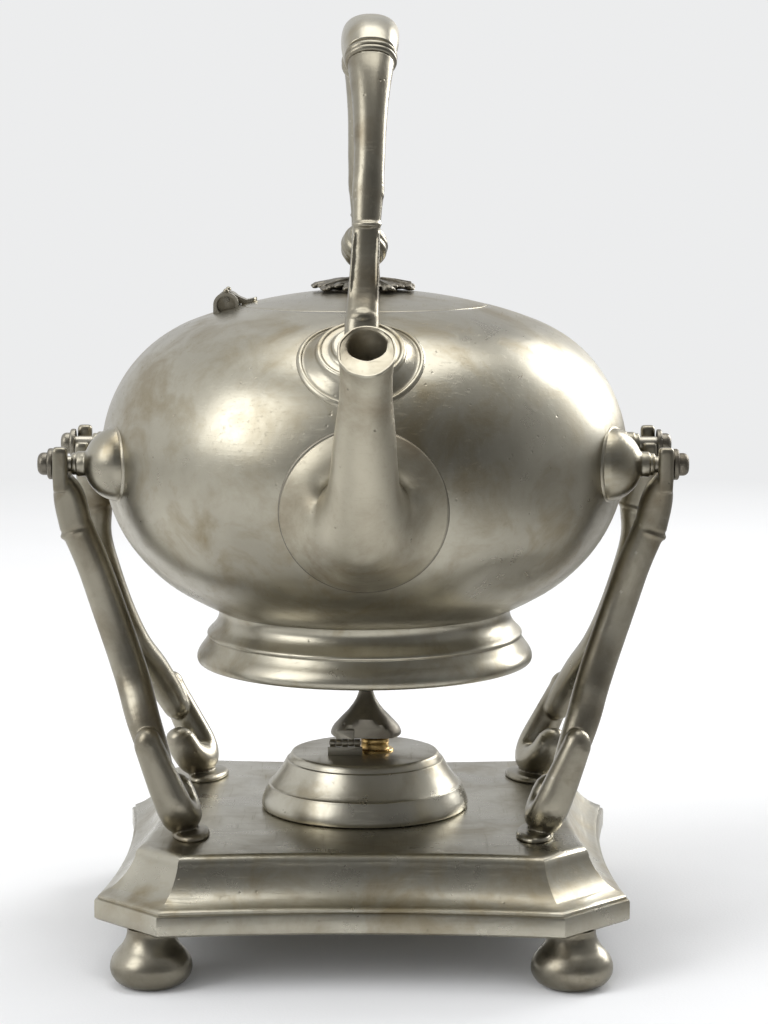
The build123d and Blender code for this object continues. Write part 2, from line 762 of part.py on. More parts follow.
front_run = upper_arm + collar_run + grip_run
whole_run = front_run + [(-y, z) for y, z in reversed(front_run[:-1])]
run_planes = handle_planes(whole_run)
arm_planes = run_planes[: len(upper_arm) + 1]
collar_planes = run_planes[len(upper_arm) : len(upper_arm) + len(collar_run)]
grip_start = len(upper_arm) + len(collar_run) - 1
grip_planes = run_planes[grip_start : len(run_planes) - grip_start]

with BuildPart() as handle_arm:
    for plane, (half_x, half_y) in zip(handle_planes(lower_arm), lower_sizes):
        with BuildSketch(plane):
            RectangleRounded(2 * half_x, 2 * half_y, half_y * 0.45)
    loft()
    with Locations(Location(lean_point(0, mount_y - 6.2, arm_foot_z + 14.0), (0, 90, 0))):
        Sphere(6.3)
    for plane, (half_x, half_y) in zip(arm_planes, upper_sizes):
        add(oval(plane, half_x, half_y))
    loft()
    add(oval(arm_planes[0], 6.1, 5.3))
    extrude(amount=1.3, both=True)
    with Locations(*[Location(lean_point(side * 5.6, *lower_arm[-1]), (0, 90, 0)) for side in (-1, 1)]):
        Sphere(2.3)
    add(mount_disc.part.moved(mount_place), mode=Mode.SUBTRACT)
    for plane, swell in zip(collar_planes, collar_swell):
        add(oval(plane, collar_half_width + swell, collar_half_depth + swell))
    loft()

with BuildPart() as handle_grip:
    for plane, (half_x, half_y) in zip(grip_planes, grip_sizes + grip_sizes[-2::-1]):
        add(oval(plane, half_x, half_y))
    loft()
handle_grip.part.label = "handle_grip"

# ---------------------------------------------------------------- lid and its hinge
lid_inside = body_form(lid_thickness)
petal_outside = body_form(-rosette_petal)

with BuildPart() as lid_disc:
    with BuildSketch(Plane.XY.offset(ledge_z + seat_gap)):
        Circle(lid_radius)
    extrude(amount=lid_top_z)
    add(body_outside, mode=Mode.INTERSECT)
    with BuildPart(mode=Mode.SUBTRACT):
        with BuildSketch(Plane.XY.offset(ledge_z - seat_thickness)):
            Circle(lid_radius - lid_edge)
        extrude(amount=lid_top_z)
        add(lid_inside, mode=Mode.INTERSECT)
    with Locations((0, 0, lid_top_z)):
        Hole(finial_stud_radius + thread_gap, depth=10)
lid_disc.part.label = "lid_disc"

with BuildPart() as lid_flange:
    with BuildSketch(Plane.XY.offset(ledge_z - flange_depth)):
        Circle(flange_radius)
        Circle(flange_radius - flange_thickness, mode=Mode.SUBTRACT)
    extrude(amount=2 * flange_depth)
    add(lid_inside, mode=Mode.INTERSECT)
lid_flange.part.label = "lid_flange"

with BuildPart() as rosette:
    with BuildSketch(Plane.XY.offset(ledge_z)):
        Circle(rosette_radius - rosette_lobe_radius)
        with PolarLocations(rosette_radius - rosette_lobe_radius, rosette_lobes):
            Circle(rosette_lobe_radius)
    extrude(amount=20)
    add(petal_outside, mode=Mode.INTERSECT)
    with BuildSketch(Plane.XZ):
        with BuildLine():
            Line((0, lid_top_z - 4), (rosette_boss_radius, lid_top_z - 4))
            Line((rosette_boss_radius, lid_top_z - 4), (rosette_boss_radius, lid_top_z + 1.0))
            ThreePointArc(
                (rosette_boss_radius, lid_top_z + 1.0),
                (rosette_boss_radius * 0.68, lid_top_z + 2.2),
                (finial_neck_radius + 1.6, rosette_top_z),
            )
            Line((finial_neck_radius + 1.6, rosette_top_z), (0, rosette_top_z))
            Line((0, rosette_top_z), (0, lid_top_z - 4))
        make_face()
    revolve(axis=Axis.Z)
    add(body_outside, mode=Mode.SUBTRACT)
    with Locations((0, 0, rosette_top_z)):
        Hole(finial_stud_radius + thread_gap, depth=20)
rosette.part.label = "lid_rosette"

with BuildPart() as finial:
    with Locations((0, 0, ball_centre_z)):
        Sphere(ball_radius)
    with BuildSketch(Plane.XY.offset(rosette_top_z)):
        Circle(finial_neck_radius)
    extrude(amount=ball_centre_z - rosette_top_z)
    with BuildSketch(Plane.XY.offset(rosette_top_z + 0.9)):
        Circle(finial_neck_radius + 1.2)
    extrude(amount=1.1)
    with BuildSketch(Plane.XY.offset(lid_top_z - lid_thickness - finial_nut_height - 0.6)):
        Circle(finial_stud_radius)
    extrude(amount=rosette_top_z - lid_top_z + lid_thickness + finial_nut_height + 0.6)
finial.part.label = "lid_finial"

with BuildPart() as finial_nut:
    with BuildSketch(Plane.XY.offset(lid_top_z - lid_thickness - finial_nut_height - 0.1)):
        RegularPolygon(finial_nut_radius, 6)
        Circle(finial_stud_radius + thread_gap, mode=Mode.SUBTRACT)
    extrude(amount=finial_nut_height)
finial_nut.part.label = "lid_finial_nut"

hood_length = (hinge_length - hinge_centre_length) / 2 - hinge_side_gap
with BuildPart() as hinge_hood:
    with BuildSketch(Plane.XZ.offset(hinge_centre_length / 2 + hinge_side_gap)):
        with Locations((hinge_x, hinge_z - hinge_hood_drop)):
            Circle(hinge_hood_radius)
            with Locations((0, -hinge_hood_radius)):
                Rectangle(2 * hinge_hood_radius, 2 * hinge_hood_radius)
    extrude(amount=hood_length)
    add(body_outside, mode=Mode.SUBTRACT)
    with BuildSketch(Plane.XZ.offset(hinge_length / 2)):
        with Locations((hinge_x, hinge_z - hinge_hood_drop)):
            Circle(hinge_hood_recess)
    extrude(amount=-hinge_recess_depth, mode=Mode.SUBTRACT)
    with BuildSketch(Plane.XZ.offset(hinge_centre_length / 2)):
        with Locations((hinge_x, hinge_z)):
            Circle(hinge_pin_radius + hinge_pin_clearance)
    extrude(amount=hood_length + 1, mode=Mode.SUBTRACT)
    with Locations((hinge_x, -hinge_length / 2 + 1.3, hinge_z - hinge_hood_drop + hinge_hood_radius + 0.4)):
        Sphere(hinge_ball_radius)

with BuildPart() as hinge_pin:
    with BuildSketch(Plane.XZ.offset(-hinge_length / 2 + hinge_recess_depth - 0.8)):
        with Locations((hinge_x, hinge_z)):
            Circle(hinge_pin_radius)
    extrude(amount=hinge_length - 2 * hinge_recess_depth + 1.6)
hinge_pin.part.label = "lid_hinge_pin"

with BuildPart() as hinge_leaf:
    with BuildSketch(Plane.XZ.offset(-hinge_centre_length / 2)):
        with BuildLine():
            Polyline(
                (hinge_x + hinge_knuckle_radius * 0.5, hinge_z + hinge_knuckle_radius * 0.8),
                (hinge_x + hinge_reach - 0.6, hinge_z + 1.0),
                (-lid_radius + 2.0, crown_z(lid_radius - 2.0) + hinge_leaf_thickness),
                (hinge_leaf_end, crown_z(hinge_leaf_end) + hinge_leaf_thickness),
                (hinge_leaf_end, ledge_z),
                (-lid_radius + 0.4, ledge_z),
                (-lid_radius + 0.1, crown_z(lid_radius) + 0.6),
                (hinge_x + 3.4, crown_z(lid_radius) + 0.4),
                (hinge_x, hinge_z),
                (hinge_x + hinge_knuckle_radius * 0.5, hinge_z + hinge_knuckle_radius * 0.8),
            )
        make_face()
        with Locations((hinge_x, hinge_z)):
            Circle(hinge_knuckle_radius)
            Circle(hinge_pin_radius + hinge_pin_clearance, mode=Mode.SUBTRACT)
    extrude(amount=hinge_centre_length)
    with BuildSketch(Plane.XY.offset(ledge_z - 5)):
        with Locations((hinge_leaf_end - hinge_centre_length / 2, 0)):
            Circle(hinge_centre_length / 2)
            Rectangle(30, hinge_centre_length, align=(Align.MAX, Align.CENTER))
    extrude(amount=30, mode=Mode.INTERSECT)
    with BuildPart(mode=Mode.SUBTRACT):
        with BuildSketch(Plane.XY.offset(ledge_z - 5)):
            Circle(lid_radius)
        extrude(amount=30)
        add(body_outside, mode=Mode.INTERSECT)
hinge_leaf.part.label = "lid_hinge_leaf"

# ---------------------------------------------------------------- lamp
with BuildPart() as lamp_body:
    with BuildSketch(Plane.XZ):
        with BuildLine():
            Line((lamp_base_radius, lamp_z), (lamp_radius - 0.8, lamp_z))
            ThreePointArc((lamp_radius - 0.8, lamp_z), (lamp_radius, lamp_z + 1.1), (lamp_radius - 0.7, lamp_z + 2.2))
            ThreePointArc(
                (lamp_radius - 0.7, lamp_z + 2.2),
                (lamp_step_radius + 0.9, lamp_z + 4.6),
                (lamp_step_radius + 0.4, lamp_z + lamp_step_z - 0.5),
            )
            Line((lamp_step_radius + 0.4, lamp_z + lamp_step_z - 0.5), (lamp_step_radius, lamp_z + lamp_step_z))
            Line((lamp_step_radius, lamp_z + lamp_step_z), (lamp_step_radius - 1.4, lamp_z + lamp_step_z + 0.3))
            ThreePointArc(
                (lamp_step_radius - 1.4, lamp_z + lamp_step_z + 0.3),
                (lamp_shoulder_radius + 4.4, lamp_z + lamp_step_z + 5.6),
                (lamp_shoulder_radius, lamp_z + lamp_shoulder_z - 1.0),
            )
            Polyline(
                (lamp_shoulder_radius, lamp_z + lamp_shoulder_z - 1.0),
                (lamp_shoulder_radius, lamp_z + lamp_shoulder_z),
                (lamp_top_radius - 0.9, lamp_z + lamp_shoulder_z + 0.2),
                (lamp_top_radius - 0.9, lamp_z + lamp_shoulder_z + 1.0),
                (lamp_top_radius, lamp_z + lamp_shoulder_z + 1.0),
                (lamp_top_radius, lamp_top_z - 0.6),
                (lamp_top_radius - 0.6, lamp_top_z),
                (0, lamp_top_z),
                (0, lamp_top_z - lamp_wall),
                (lamp_shoulder_radius - 4.2, lamp_top_z - lamp_wall),
                (lamp_shoulder_radius + 1.2, lamp_z + lamp_step_z + 4.8),
                (lamp_step_radius - 2.4, lamp_z + lamp_step_z - 1.6),
                (lamp_step_radius - 1.4, lamp_z + lamp_base_thickness + 0.9),
                (lamp_base_radius, lamp_z + lamp_base_thickness + 0.9),
                (lamp_base_radius, lamp_z),
            )
        make_face()
    revolve(axis=Axis.Z)
    with Locations((burner_x, burner_y, lamp_top_z)):
        Hole(burner_radius + thread_gap, depth=lamp_wall + 1)
lamp_body.part.label = "lamp_body"

with BuildPart() as lamp_base:
    with BuildSketch(Plane.XY.offset(lamp_z + 0.9)):
        Circle(lamp_base_radius - thread_gap)
    extrude(amount=lamp_base_thickness)
lamp_base.part.label = "lamp_base"

with BuildPart() as burner:
    with BuildSketch(Plane.XY.offset(lamp_top_z - 6)):
        with Locations((burner_x, burner_y)):
            Circle(burner_radius)
    extrude(amount=6 + burner_rise)
    with BuildSketch(Plane.XY.offset(lamp_top_z)):
        with Locations((burner_x, burner_y)):
            Circle(burner_flange_radius)
    extrude(amount=burner_flange_height)
    chamfer(burner.edges().sort_by(Axis.Z)[-1], 0.5)
    with Locations((burner_x, burner_y, burner_top_z)):
        Hole(burner_bore, depth=burner_rise + 6)
burner.part.label = "lamp_burner"

with BuildPart() as wick:
    with BuildSketch(Plane.XY.offset(lamp_top_z - 15)):
        with Locations((burner_x, burner_y)):
            Circle(burner_bore - wick_gap)
    extrude(amount=15 + burner_rise + wick_rise)
wick.part.label = "lamp_wick"


def knuckle_place(index):
    """Plane at the start of one knuckle of the snuffer's hinge."""
    return Plane.YZ.offset(snuffer_barrel_start + index * snuffer_knuckle + snuffer_knuckle_gap / 2)


snuffer_barrel_end = snuffer_barrel_start + 5 * snuffer_knuckle
snuffer_barrel_centre = (snuffer_hinge_y, snuffer_hinge_z)
bracket_top_z = snuffer_hinge_z - snuffer_barrel_radius - 0.2

with BuildPart() as snuffer_bracket:
    with BuildSketch(Plane.YZ.offset(snuffer_barrel_start - 0.8)):
        with Locations((snuffer_hinge_y, lamp_top_z)):
            Rectangle(leaf_thickness, bracket_top_z - lamp_top_z, align=(Align.CENTER, Align.MIN))
            with Locations((-leaf_thickness / 2, 0)):
                Rectangle(leaf_thickness + 3.4, 0.9, align=(Align.MIN, Align.MIN))
    extrude(amount=snuffer_barrel_end - snuffer_barrel_start + 1.6)
    for index in (0, 2, 4):
        with BuildSketch(knuckle_place(index)):
            with Locations(snuffer_barrel_centre):
                Circle(snuffer_barrel_radius)
                Rectangle(leaf_thickness, snuffer_hinge_z - bracket_top_z + 0.5, align=(Align.CENTER, Align.MAX))
                Circle(snuffer_pin_radius + hinge_pin_clearance, mode=Mode.SUBTRACT)
        extrude(amount=snuffer_knuckle - snuffer_knuckle_gap)
snuffer_bracket.part.label = "snuffer_bracket"

with BuildPart() as snuffer_pin:
    with BuildSketch(Plane.YZ.offset(snuffer_barrel_start - 0.2)):
        with Locations(snuffer_barrel_centre):
            Circle(snuffer_pin_radius)
    extrude(amount=5 * snuffer_knuckle + 0.4)
snuffer_pin.part.label = "snuffer_pin"


# ---------------------------------------------------------------- snuffer
def cap_form(inset, rim_z, front_y):
    """Hollow-sided cone of the snuffer, drawn in by an inset and cut flat at the front."""
    neck_z = cap_neck_z - 2.4 * inset
    neck = cap_neck_radius - 0.6 * inset
    with BuildPart() as form:
        with BuildSketch(Plane.XZ):
            with BuildLine():
                Line((0, rim_z), (cap_radius - inset, rim_z))
                Line((cap_radius - inset, rim_z), (cap_radius - inset, cap_rim_z + 1.0))
                ThreePointArc(
                    (cap_radius - inset, cap_rim_z + 1.0),
                    (cap_radius * 0.52 - inset, cap_rim_z + 6.6 - 0.5 * inset),
                    (neck, neck_z),
                )
                Line((neck, neck_z), (0, neck_z))
                Line((0, neck_z), (0, rim_z))
            make_face()
        revolve(axis=Axis.Z)
        with BuildSketch(Plane.XY.offset(rim_z)):
            with Locations((0, front_y - cap_y)):
                Rectangle(2 * cap_radius, 3 * cap_radius, align=(Align.CENTER, Align.MIN))
        extrude(amount=cap_neck_z, mode=Mode.INTERSECT)
    return form.part.moved(Location((cap_x, cap_y, 0)))


with BuildPart() as snuffer_cap:
    add(cap_form(0, cap_rim_z, cap_front_y))
    add(cap_form(cap_wall, cap_rim_z - 1, cap_front_y + cap_wall), mode=Mode.SUBTRACT)
snuffer_cap.part.label = "snuffer_cap"

with BuildPart() as snuffer_leaf:
    with BuildSketch(Plane.YZ.offset(snuffer_barrel_start + snuffer_knuckle + snuffer_knuckle_gap / 2)):
        with Locations((cap_front_y, snuffer_hinge_z + snuffer_barrel_radius + 0.2)):
            Rectangle(cap_front_y - snuffer_hinge_y + leaf_thickness / 2, leaf_height, align=(Align.MAX, Align.MIN))
    extrude(amount=3 * snuffer_knuckle - snuffer_knuckle_gap)
    for index in (1, 3):
        with BuildSketch(knuckle_place(index)):
            with Locations(snuffer_barrel_centre):
                Circle(snuffer_barrel_radius)
                Rectangle(leaf_thickness, snuffer_barrel_radius + 0.6, align=(Align.CENTER, Align.MIN))
                Circle(snuffer_pin_radius + hinge_pin_clearance, mode=Mode.SUBTRACT)
        extrude(amount=snuffer_knuckle - snuffer_knuckle_gap)
snuffer_leaf.part.label = "snuffer_leaf"

with BuildPart() as snuffer_knob:
    with Locations((cap_x, cap_y, knob_z)):
        Sphere(knob_radius)
    with BuildSketch(Plane.XY.offset(cap_neck_z)):
        with Locations((cap_x, cap_y)):
            Circle(cap_neck_radius * 0.7)
    extrude(amount=knob_z - cap_neck_z)
snuffer_knob.part.label = "snuffer_knob"


# ---------------------------------------------------------------- repeated pieces and files
def mirrored(part, left, rear, label):
    """Copy of a piece drawn at the front right or rear right, carried to another corner."""
    copy = part
    if left:
        copy = mirror(copy, about=Plane.YZ)
    if rear:
        copy = mirror(copy, about=Plane.XZ)
    copy.label = label
    return copy


corners = [("front_right", False, False), ("front_left", True, False), ("rear_right", False, True), ("rear_left", True, True)]
pieces = [
    base_plinth.part,
    kettle_body.part,
    kettle_shoulder.part,
    foot_ring.part,
    spout.part,
    handle_grip.part,
    lid_disc.part,
    lid_flange.part,
    rosette.part,
    finial.part,
    finial_nut.part,
    hinge_pin.part,
    hinge_leaf.part,
    lamp_body.part,
    lamp_base.part,
    burner.part,
    wick.part,
    snuffer_bracket.part,
    snuffer_pin.part,
    snuffer_cap.part,
    snuffer_leaf.part,
    snuffer_knob.part,
]
front_leg = leg(front_leg_toe, -1)
rear_leg = leg(rear_leg_toe, 1)
for corner, left, rear in corners:
    pieces.append(mirrored(bun_foot.part, left, rear, f"bun_foot_{corner}"))
    pieces.append(mirrored(foot_nut.part, left, rear, f"foot_nut_{corner}"))
    pieces.append(mirrored(leg_screw.part, left, rear, f"leg_screw_{corner}"))
    pieces.append(mirrored(rear_leg if rear else front_leg, left, False, f"leg_{corner}"))
    pieces.append(mirrored(boss.part, left, rear, f"boss_{corner}"))
    pieces.append(mirrored(spindle.part, left, rear, f"spindle_{corner}"))
    pieces.append(mirrored(washer.part, left, rear, f"washer_{corner}"))
    pieces.append(mirrored(cap_nut.part, left, rear, f"cap_nut_{corner}"))
for side, rear in (("front", False), ("rear", True)):
    pieces.append(mirrored(handle_mount.part, False, rear, f"handle_mount_{side}"))
    pieces.append(mirrored(handle_arm.part, False, rear, f"handle_arm_{side}"))
    pieces.append(mirrored(hinge_hood.part, False, rear, f"lid_hinge_hood_{side}"))

os.makedirs("parts", exist_ok=True)
for piece in pieces:
    export_step(piece, f"parts/{piece.label}.step")
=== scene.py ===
"""Dressed model of a spirit kettle on its footed stand: pieces, finishes, light and camera."""
import logging
import math
from dataclasses import dataclass, field
from enum import Enum
from typing import Callable, Iterable, Sequence

import bmesh
import bpy
from mathutils import Matrix, Vector, noise


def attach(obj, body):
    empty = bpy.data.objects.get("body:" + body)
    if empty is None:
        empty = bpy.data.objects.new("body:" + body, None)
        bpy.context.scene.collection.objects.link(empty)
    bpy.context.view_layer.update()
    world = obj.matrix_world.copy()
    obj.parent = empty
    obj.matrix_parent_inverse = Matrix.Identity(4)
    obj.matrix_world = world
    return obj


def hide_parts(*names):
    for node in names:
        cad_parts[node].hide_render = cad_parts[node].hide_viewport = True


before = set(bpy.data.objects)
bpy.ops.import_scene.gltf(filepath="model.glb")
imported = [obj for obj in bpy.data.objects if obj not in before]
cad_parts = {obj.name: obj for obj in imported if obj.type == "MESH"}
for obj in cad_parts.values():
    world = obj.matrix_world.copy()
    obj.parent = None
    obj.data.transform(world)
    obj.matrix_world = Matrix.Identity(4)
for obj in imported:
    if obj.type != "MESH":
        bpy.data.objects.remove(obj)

log = logging.getLogger("kettle")
MM = 0.001
Colour = tuple[float, float, float]
Spot = tuple[float, float, float]
Outline = list[tuple[float, float]]
Socket = bpy.types.NodeSocket


class Body(Enum):
    """The moving bodies that pieces ride on."""

    STAND = "stand"
    KETTLE = "kettle"
    LID = "lid"
    LAMP = "lamp"
    SNUFFER = "snuffer"


class Slot(Enum):
    """The record's material slots."""

    PEWTER = "pewter"
    DARK = "dark_pewter"
    BRASS = "brass"
    WICK = "wick"


# ------------------------------------------------------------------ finishes
class NodeSheet:
    """A material's node tree with short calls for adding and joining nodes."""

    def __init__(self, name: str) -> None:
        """Make an empty material.

        Args:
            name: the material's name.
        """
        self.material = bpy.data.materials.new(name)
        self.material.use_nodes = True
        self.tree = self.material.node_tree
        self.tree.nodes.clear()

    def add(self, kind: str, **values: object) -> bpy.types.Node:
        """Add a node and set its properties and input values.

        Args:
            kind: the node's type without the ShaderNode prefix.
            values: properties of the node, or inputs written with underscores.

        Returns:
            The new node.
        """
        node = self.tree.nodes.new("ShaderNode" + kind)
        for key, value in values.items():
            if hasattr(node, key):
                setattr(node, key, value)
            else:
                node.inputs[key.replace("_", " ")].default_value = value
        return node

    def join(self, source: Socket, target: Socket) -> None:
        """Link one socket to another."""
        self.tree.links.new(source, target)

    def place(self, scale: Sequence[float] = (1, 1, 1), turn: Sequence[float] = (0, 0, 0)) -> Socket:
        """Return object coordinates, stretched and turned."""
        coordinates = self.add("TexCoord")
        mapping = self.add("Mapping")
        mapping.inputs["Scale"].default_value = scale
        mapping.inputs["Rotation"].default_value = turn
        self.join(coordinates.outputs["Object"], mapping.inputs["Vector"])
        return mapping.outputs["Vector"]

    def cloud(self, where: Socket, scale: float, detail: float = 3.0, rough: float = 0.5,
              warp: float = 0.0) -> Socket:
        """Return the value of a noise pattern."""
        pattern = self.add("TexNoise", Scale=scale, Detail=detail, Roughness=rough, Distortion=warp)
        self.join(where, pattern.inputs["Vector"])
        return pattern.outputs["Fac"]

    def cells(self, where: Socket, scale: float) -> Socket:
        """Return the distance to the nearest of many scattered points."""
        pattern = self.add("TexVoronoi", Scale=scale)
        self.join(where, pattern.inputs["Vector"])
        return pattern.outputs["Distance"]

    def span(self, value: Socket, low: float, high: float, start: float = 0.0,
             end: float = 1.0) -> Socket:
        """Return a value's range from low to high spread over start to end, and clamped."""
        spread = self.add("MapRange")
        self.join(value, spread.inputs["Value"])
        for socket, number in zip(("From Min", "From Max", "To Min", "To Max"), (low, high, start, end)):
            spread.inputs[socket].default_value = number
        return spread.outputs["Result"]

    def sums(self, how: str, first: Socket, second: Socket | float) -> Socket:
        """Return two values added, multiplied, or compared."""
        step = self.add("Math", operation=how)
        self.join(first, step.inputs[0])
        if isinstance(second, (int, float)):
            step.inputs[1].default_value = second
        else:
            self.join(second, step.inputs[1])
        return step.outputs[0]

    def tint(self, amount: Socket, base: Socket | Colour,
             other: Colour, how: str = "MIX") -> Socket:
        """Return a colour mixed towards another by an amount."""
        step = self.add("Mix", data_type="RGBA", blend_type=how)
        self.join(amount, step.inputs[0])
        if isinstance(base, tuple):
            step.inputs[6].default_value = (*base, 1)
        else:
            self.join(base, step.inputs[6])
        step.inputs[7].default_value = (*other, 1)
        return step.outputs[2]

    def relief(self, height: Socket, depth: float, strength: float,
               below: Socket | None = None) -> Socket:
        """Return a normal bumped by a height, over another bump if one is given."""
        bump = self.add("Bump", Distance=depth, Strength=strength)
        self.join(height, bump.inputs["Height"])
        if below is not None:
            self.join(below, bump.inputs["Normal"])
        return bump.outputs["Normal"]

    def close(self, colour: Socket, rough: Socket, normal: Socket,
              metallic: float = 1.0, sheen: float = 0.0) -> bpy.types.Material:
        """Finish the tree with a principled shader and return the material."""
        shader = self.add("BsdfPrincipled", Metallic=metallic)
        shader.inputs["Sheen Weight"].default_value = sheen
        out = self.add("OutputMaterial")
        self.join(colour, shader.inputs["Base Color"])
        self.join(rough, shader.inputs["Roughness"])
        self.join(normal, shader.inputs["Normal"])
        self.join(shader.outputs["BSDF"], out.inputs["Surface"])
        return self.material


@dataclass(frozen=True)
class PewterFinish:
    """Old handled pewter: cloudy tarnish, soft scratches, small pits, and dark dirt with painted shade in the
    hollows.

    Args:
        name: the material's name.
        bright: colour of the rubbed metal.
        dull: colour of the cloudy grey skin.
        stain: colour of the brown tarnish.
        smooth: lowest and highest roughness.
        dirt_and_shade: how dark the hollows go with dirt and painted shade, from 0 to 1.
        scratch: strength of the fine scratches.
        pits: strength of the small pits.
        turned: strength of the faint rings left by the lathe.
    """

    name: str
    bright: Colour = (0.43, 0.405, 0.33)
    dull: Colour = (0.335, 0.312, 0.25)
    stain: Colour = (0.25, 0.212, 0.138)
    smooth: tuple[float, float] = (0.26, 0.38)
    dirt_and_shade: float = 0.6
    scratch: float = 0.08
    pits: float = 0.25
    turned: float = 0.0

    def build(self) -> bpy.types.Material:
        """Build the material's node tree and return the material."""
        sheet = NodeSheet(self.name)
        here = sheet.place()
        broad = sheet.cloud(here, 14.0, 4.0, 0.55, 0.6)
        patchy = sheet.cloud(sheet.place(turn=(0.4, 0.2, 1.1)), 46.0, 6.0, 0.62, 0.4)
        speckle = sheet.cloud(here, 420.0, 5.0, 0.6)
        colour = sheet.tint(sheet.span(broad, 0.38, 0.62), self.bright, self.dull)
        brown = sheet.sums("MULTIPLY", sheet.span(patchy, 0.46, 0.68), sheet.span(broad, 0.3, 0.6, 0.25, 1.0))
        colour = sheet.tint(brown, colour, self.stain)
        colour = sheet.tint(sheet.span(speckle, 0.52, 0.74, 0.0, 0.1), colour, self.stain)
        points = sheet.cells(here, 260.0)
        rare = sheet.span(sheet.cloud(here, 95.0, 2.0), 0.56, 0.66)
        pit = sheet.sums("MULTIPLY", sheet.span(points, 0.05, 0.16, 1.0, 0.0), rare)
        colour = sheet.tint(sheet.sums("MULTIPLY", pit, self.pits), colour, (0.09, 0.08, 0.06))
        geometry = sheet.add("NewGeometry")
        # Darker in the hollows, found by pointiness: dirt and painted shade.
        hollow = sheet.span(geometry.outputs["Pointiness"], 0.42, 0.49, self.dirt_and_shade, 0.0)
        colour = sheet.tint(hollow, colour, (0.05, 0.045, 0.035))
        worn = sheet.span(geometry.outputs["Pointiness"], 0.52, 0.62, 0.0, 0.35)
        colour = sheet.tint(worn, colour, (0.56, 0.53, 0.45))
        long_marks = sheet.cloud(sheet.place((0.05, 1.0, 1.0), (0.3, 0.5, 0.9)), 900.0, 2.0, 0.6)
        cross_marks = sheet.cloud(sheet.place((1.0, 0.06, 1.0), (1.2, 0.2, 0.5)), 700.0, 2.0, 0.6)
        marks = sheet.sums("MAXIMUM", sheet.span(long_marks, 0.6, 0.7), sheet.span(cross_marks, 0.62, 0.7))
        rough = sheet.span(patchy, 0.3, 0.7, self.smooth[0], self.smooth[1])
        rough = sheet.sums("ADD", rough, sheet.sums("MULTIPLY", marks, 0.1))
        rough = sheet.sums("ADD", rough, sheet.sums("MULTIPLY", hollow, 0.3))
        normal = sheet.relief(speckle, 0.0003, 0.04)
        normal = sheet.relief(marks, 0.0002, self.scratch, normal)
        normal = sheet.relief(pit, -0.0005, self.pits, normal)
        if self.turned:
            rings = sheet.cloud(sheet.place((0.02, 0.02, 1.0)), 1300.0, 2.0, 0.5)
            normal = sheet.relief(rings, 0.0003, self.turned, normal)
        return sheet.close(colour, rough, normal)


@dataclass(frozen=True)
class BrassFinish:
    """Aged brass with brown patches.

    Args:
        name: the material's name.
        bright: colour of the rubbed brass.
        aged: colour of the brown patches.
    """

    name: str
    bright: Colour = (0.72, 0.5, 0.2)
    aged: Colour = (0.3, 0.19, 0.08)

    def build(self) -> bpy.types.Material:
        """Build the material's node tree and return the material."""
        sheet = NodeSheet(self.name)
        here = sheet.place()
        patchy = sheet.cloud(here, 240.0, 5.0, 0.6)
        fine = sheet.cloud(here, 1500.0, 3.0)
        colour = sheet.tint(sheet.span(patchy, 0.42, 0.66), self.bright, self.aged)
        rough = sheet.span(patchy, 0.3, 0.7, 0.22, 0.45)
        return sheet.close(colour, rough, sheet.relief(fine, 0.0002, 0.2))


@dataclass(frozen=True)
class WickFinish:
    """Woven cotton, scorched at its top.

    Args:
        name: the material's name.
        cotton: colour of the clean cotton.
        scorch: colour of the burnt top.
        scorch_z: height where the burning starts, in metres.
    """

    name: str
    cotton: Colour = (0.78, 0.72, 0.58)
    scorch: Colour = (0.04, 0.03, 0.025)
    scorch_z: float = 0.0768

    def build(self) -> bpy.types.Material:
        """Build the material's node tree and return the material."""
        sheet = NodeSheet(self.name)
        here = sheet.place()
        weave = sheet.add("TexWave", Scale=620.0, Distortion=1.5, bands_direction="Z")
        cross = sheet.add("TexWave", Scale=620.0, Distortion=1.5, bands_direction="DIAGONAL")
        sheet.join(here, weave.inputs["Vector"])
        sheet.join(here, cross.inputs["Vector"])
        plait = sheet.sums("MULTIPLY", weave.outputs["Fac"], cross.outputs["Fac"])
        split = sheet.add("SeparateXYZ")
        sheet.join(here, split.inputs[0])
        burnt = sheet.span(split.outputs["Z"], self.scorch_z, self.scorch_z + 0.0009)
        colour = sheet.tint(sheet.span(plait, 0.0, 0.5, 0.5, 0.0), self.cotton, (0.45, 0.38, 0.27))
        colour = sheet.tint(burnt, colour, self.scorch)
        rough = sheet.span(plait, 0.0, 1.0, 0.8, 0.95)
        return sheet.close(colour, rough, sheet.relief(plait, 0.0004, 0.8), metallic=0.0, sheen=0.3)


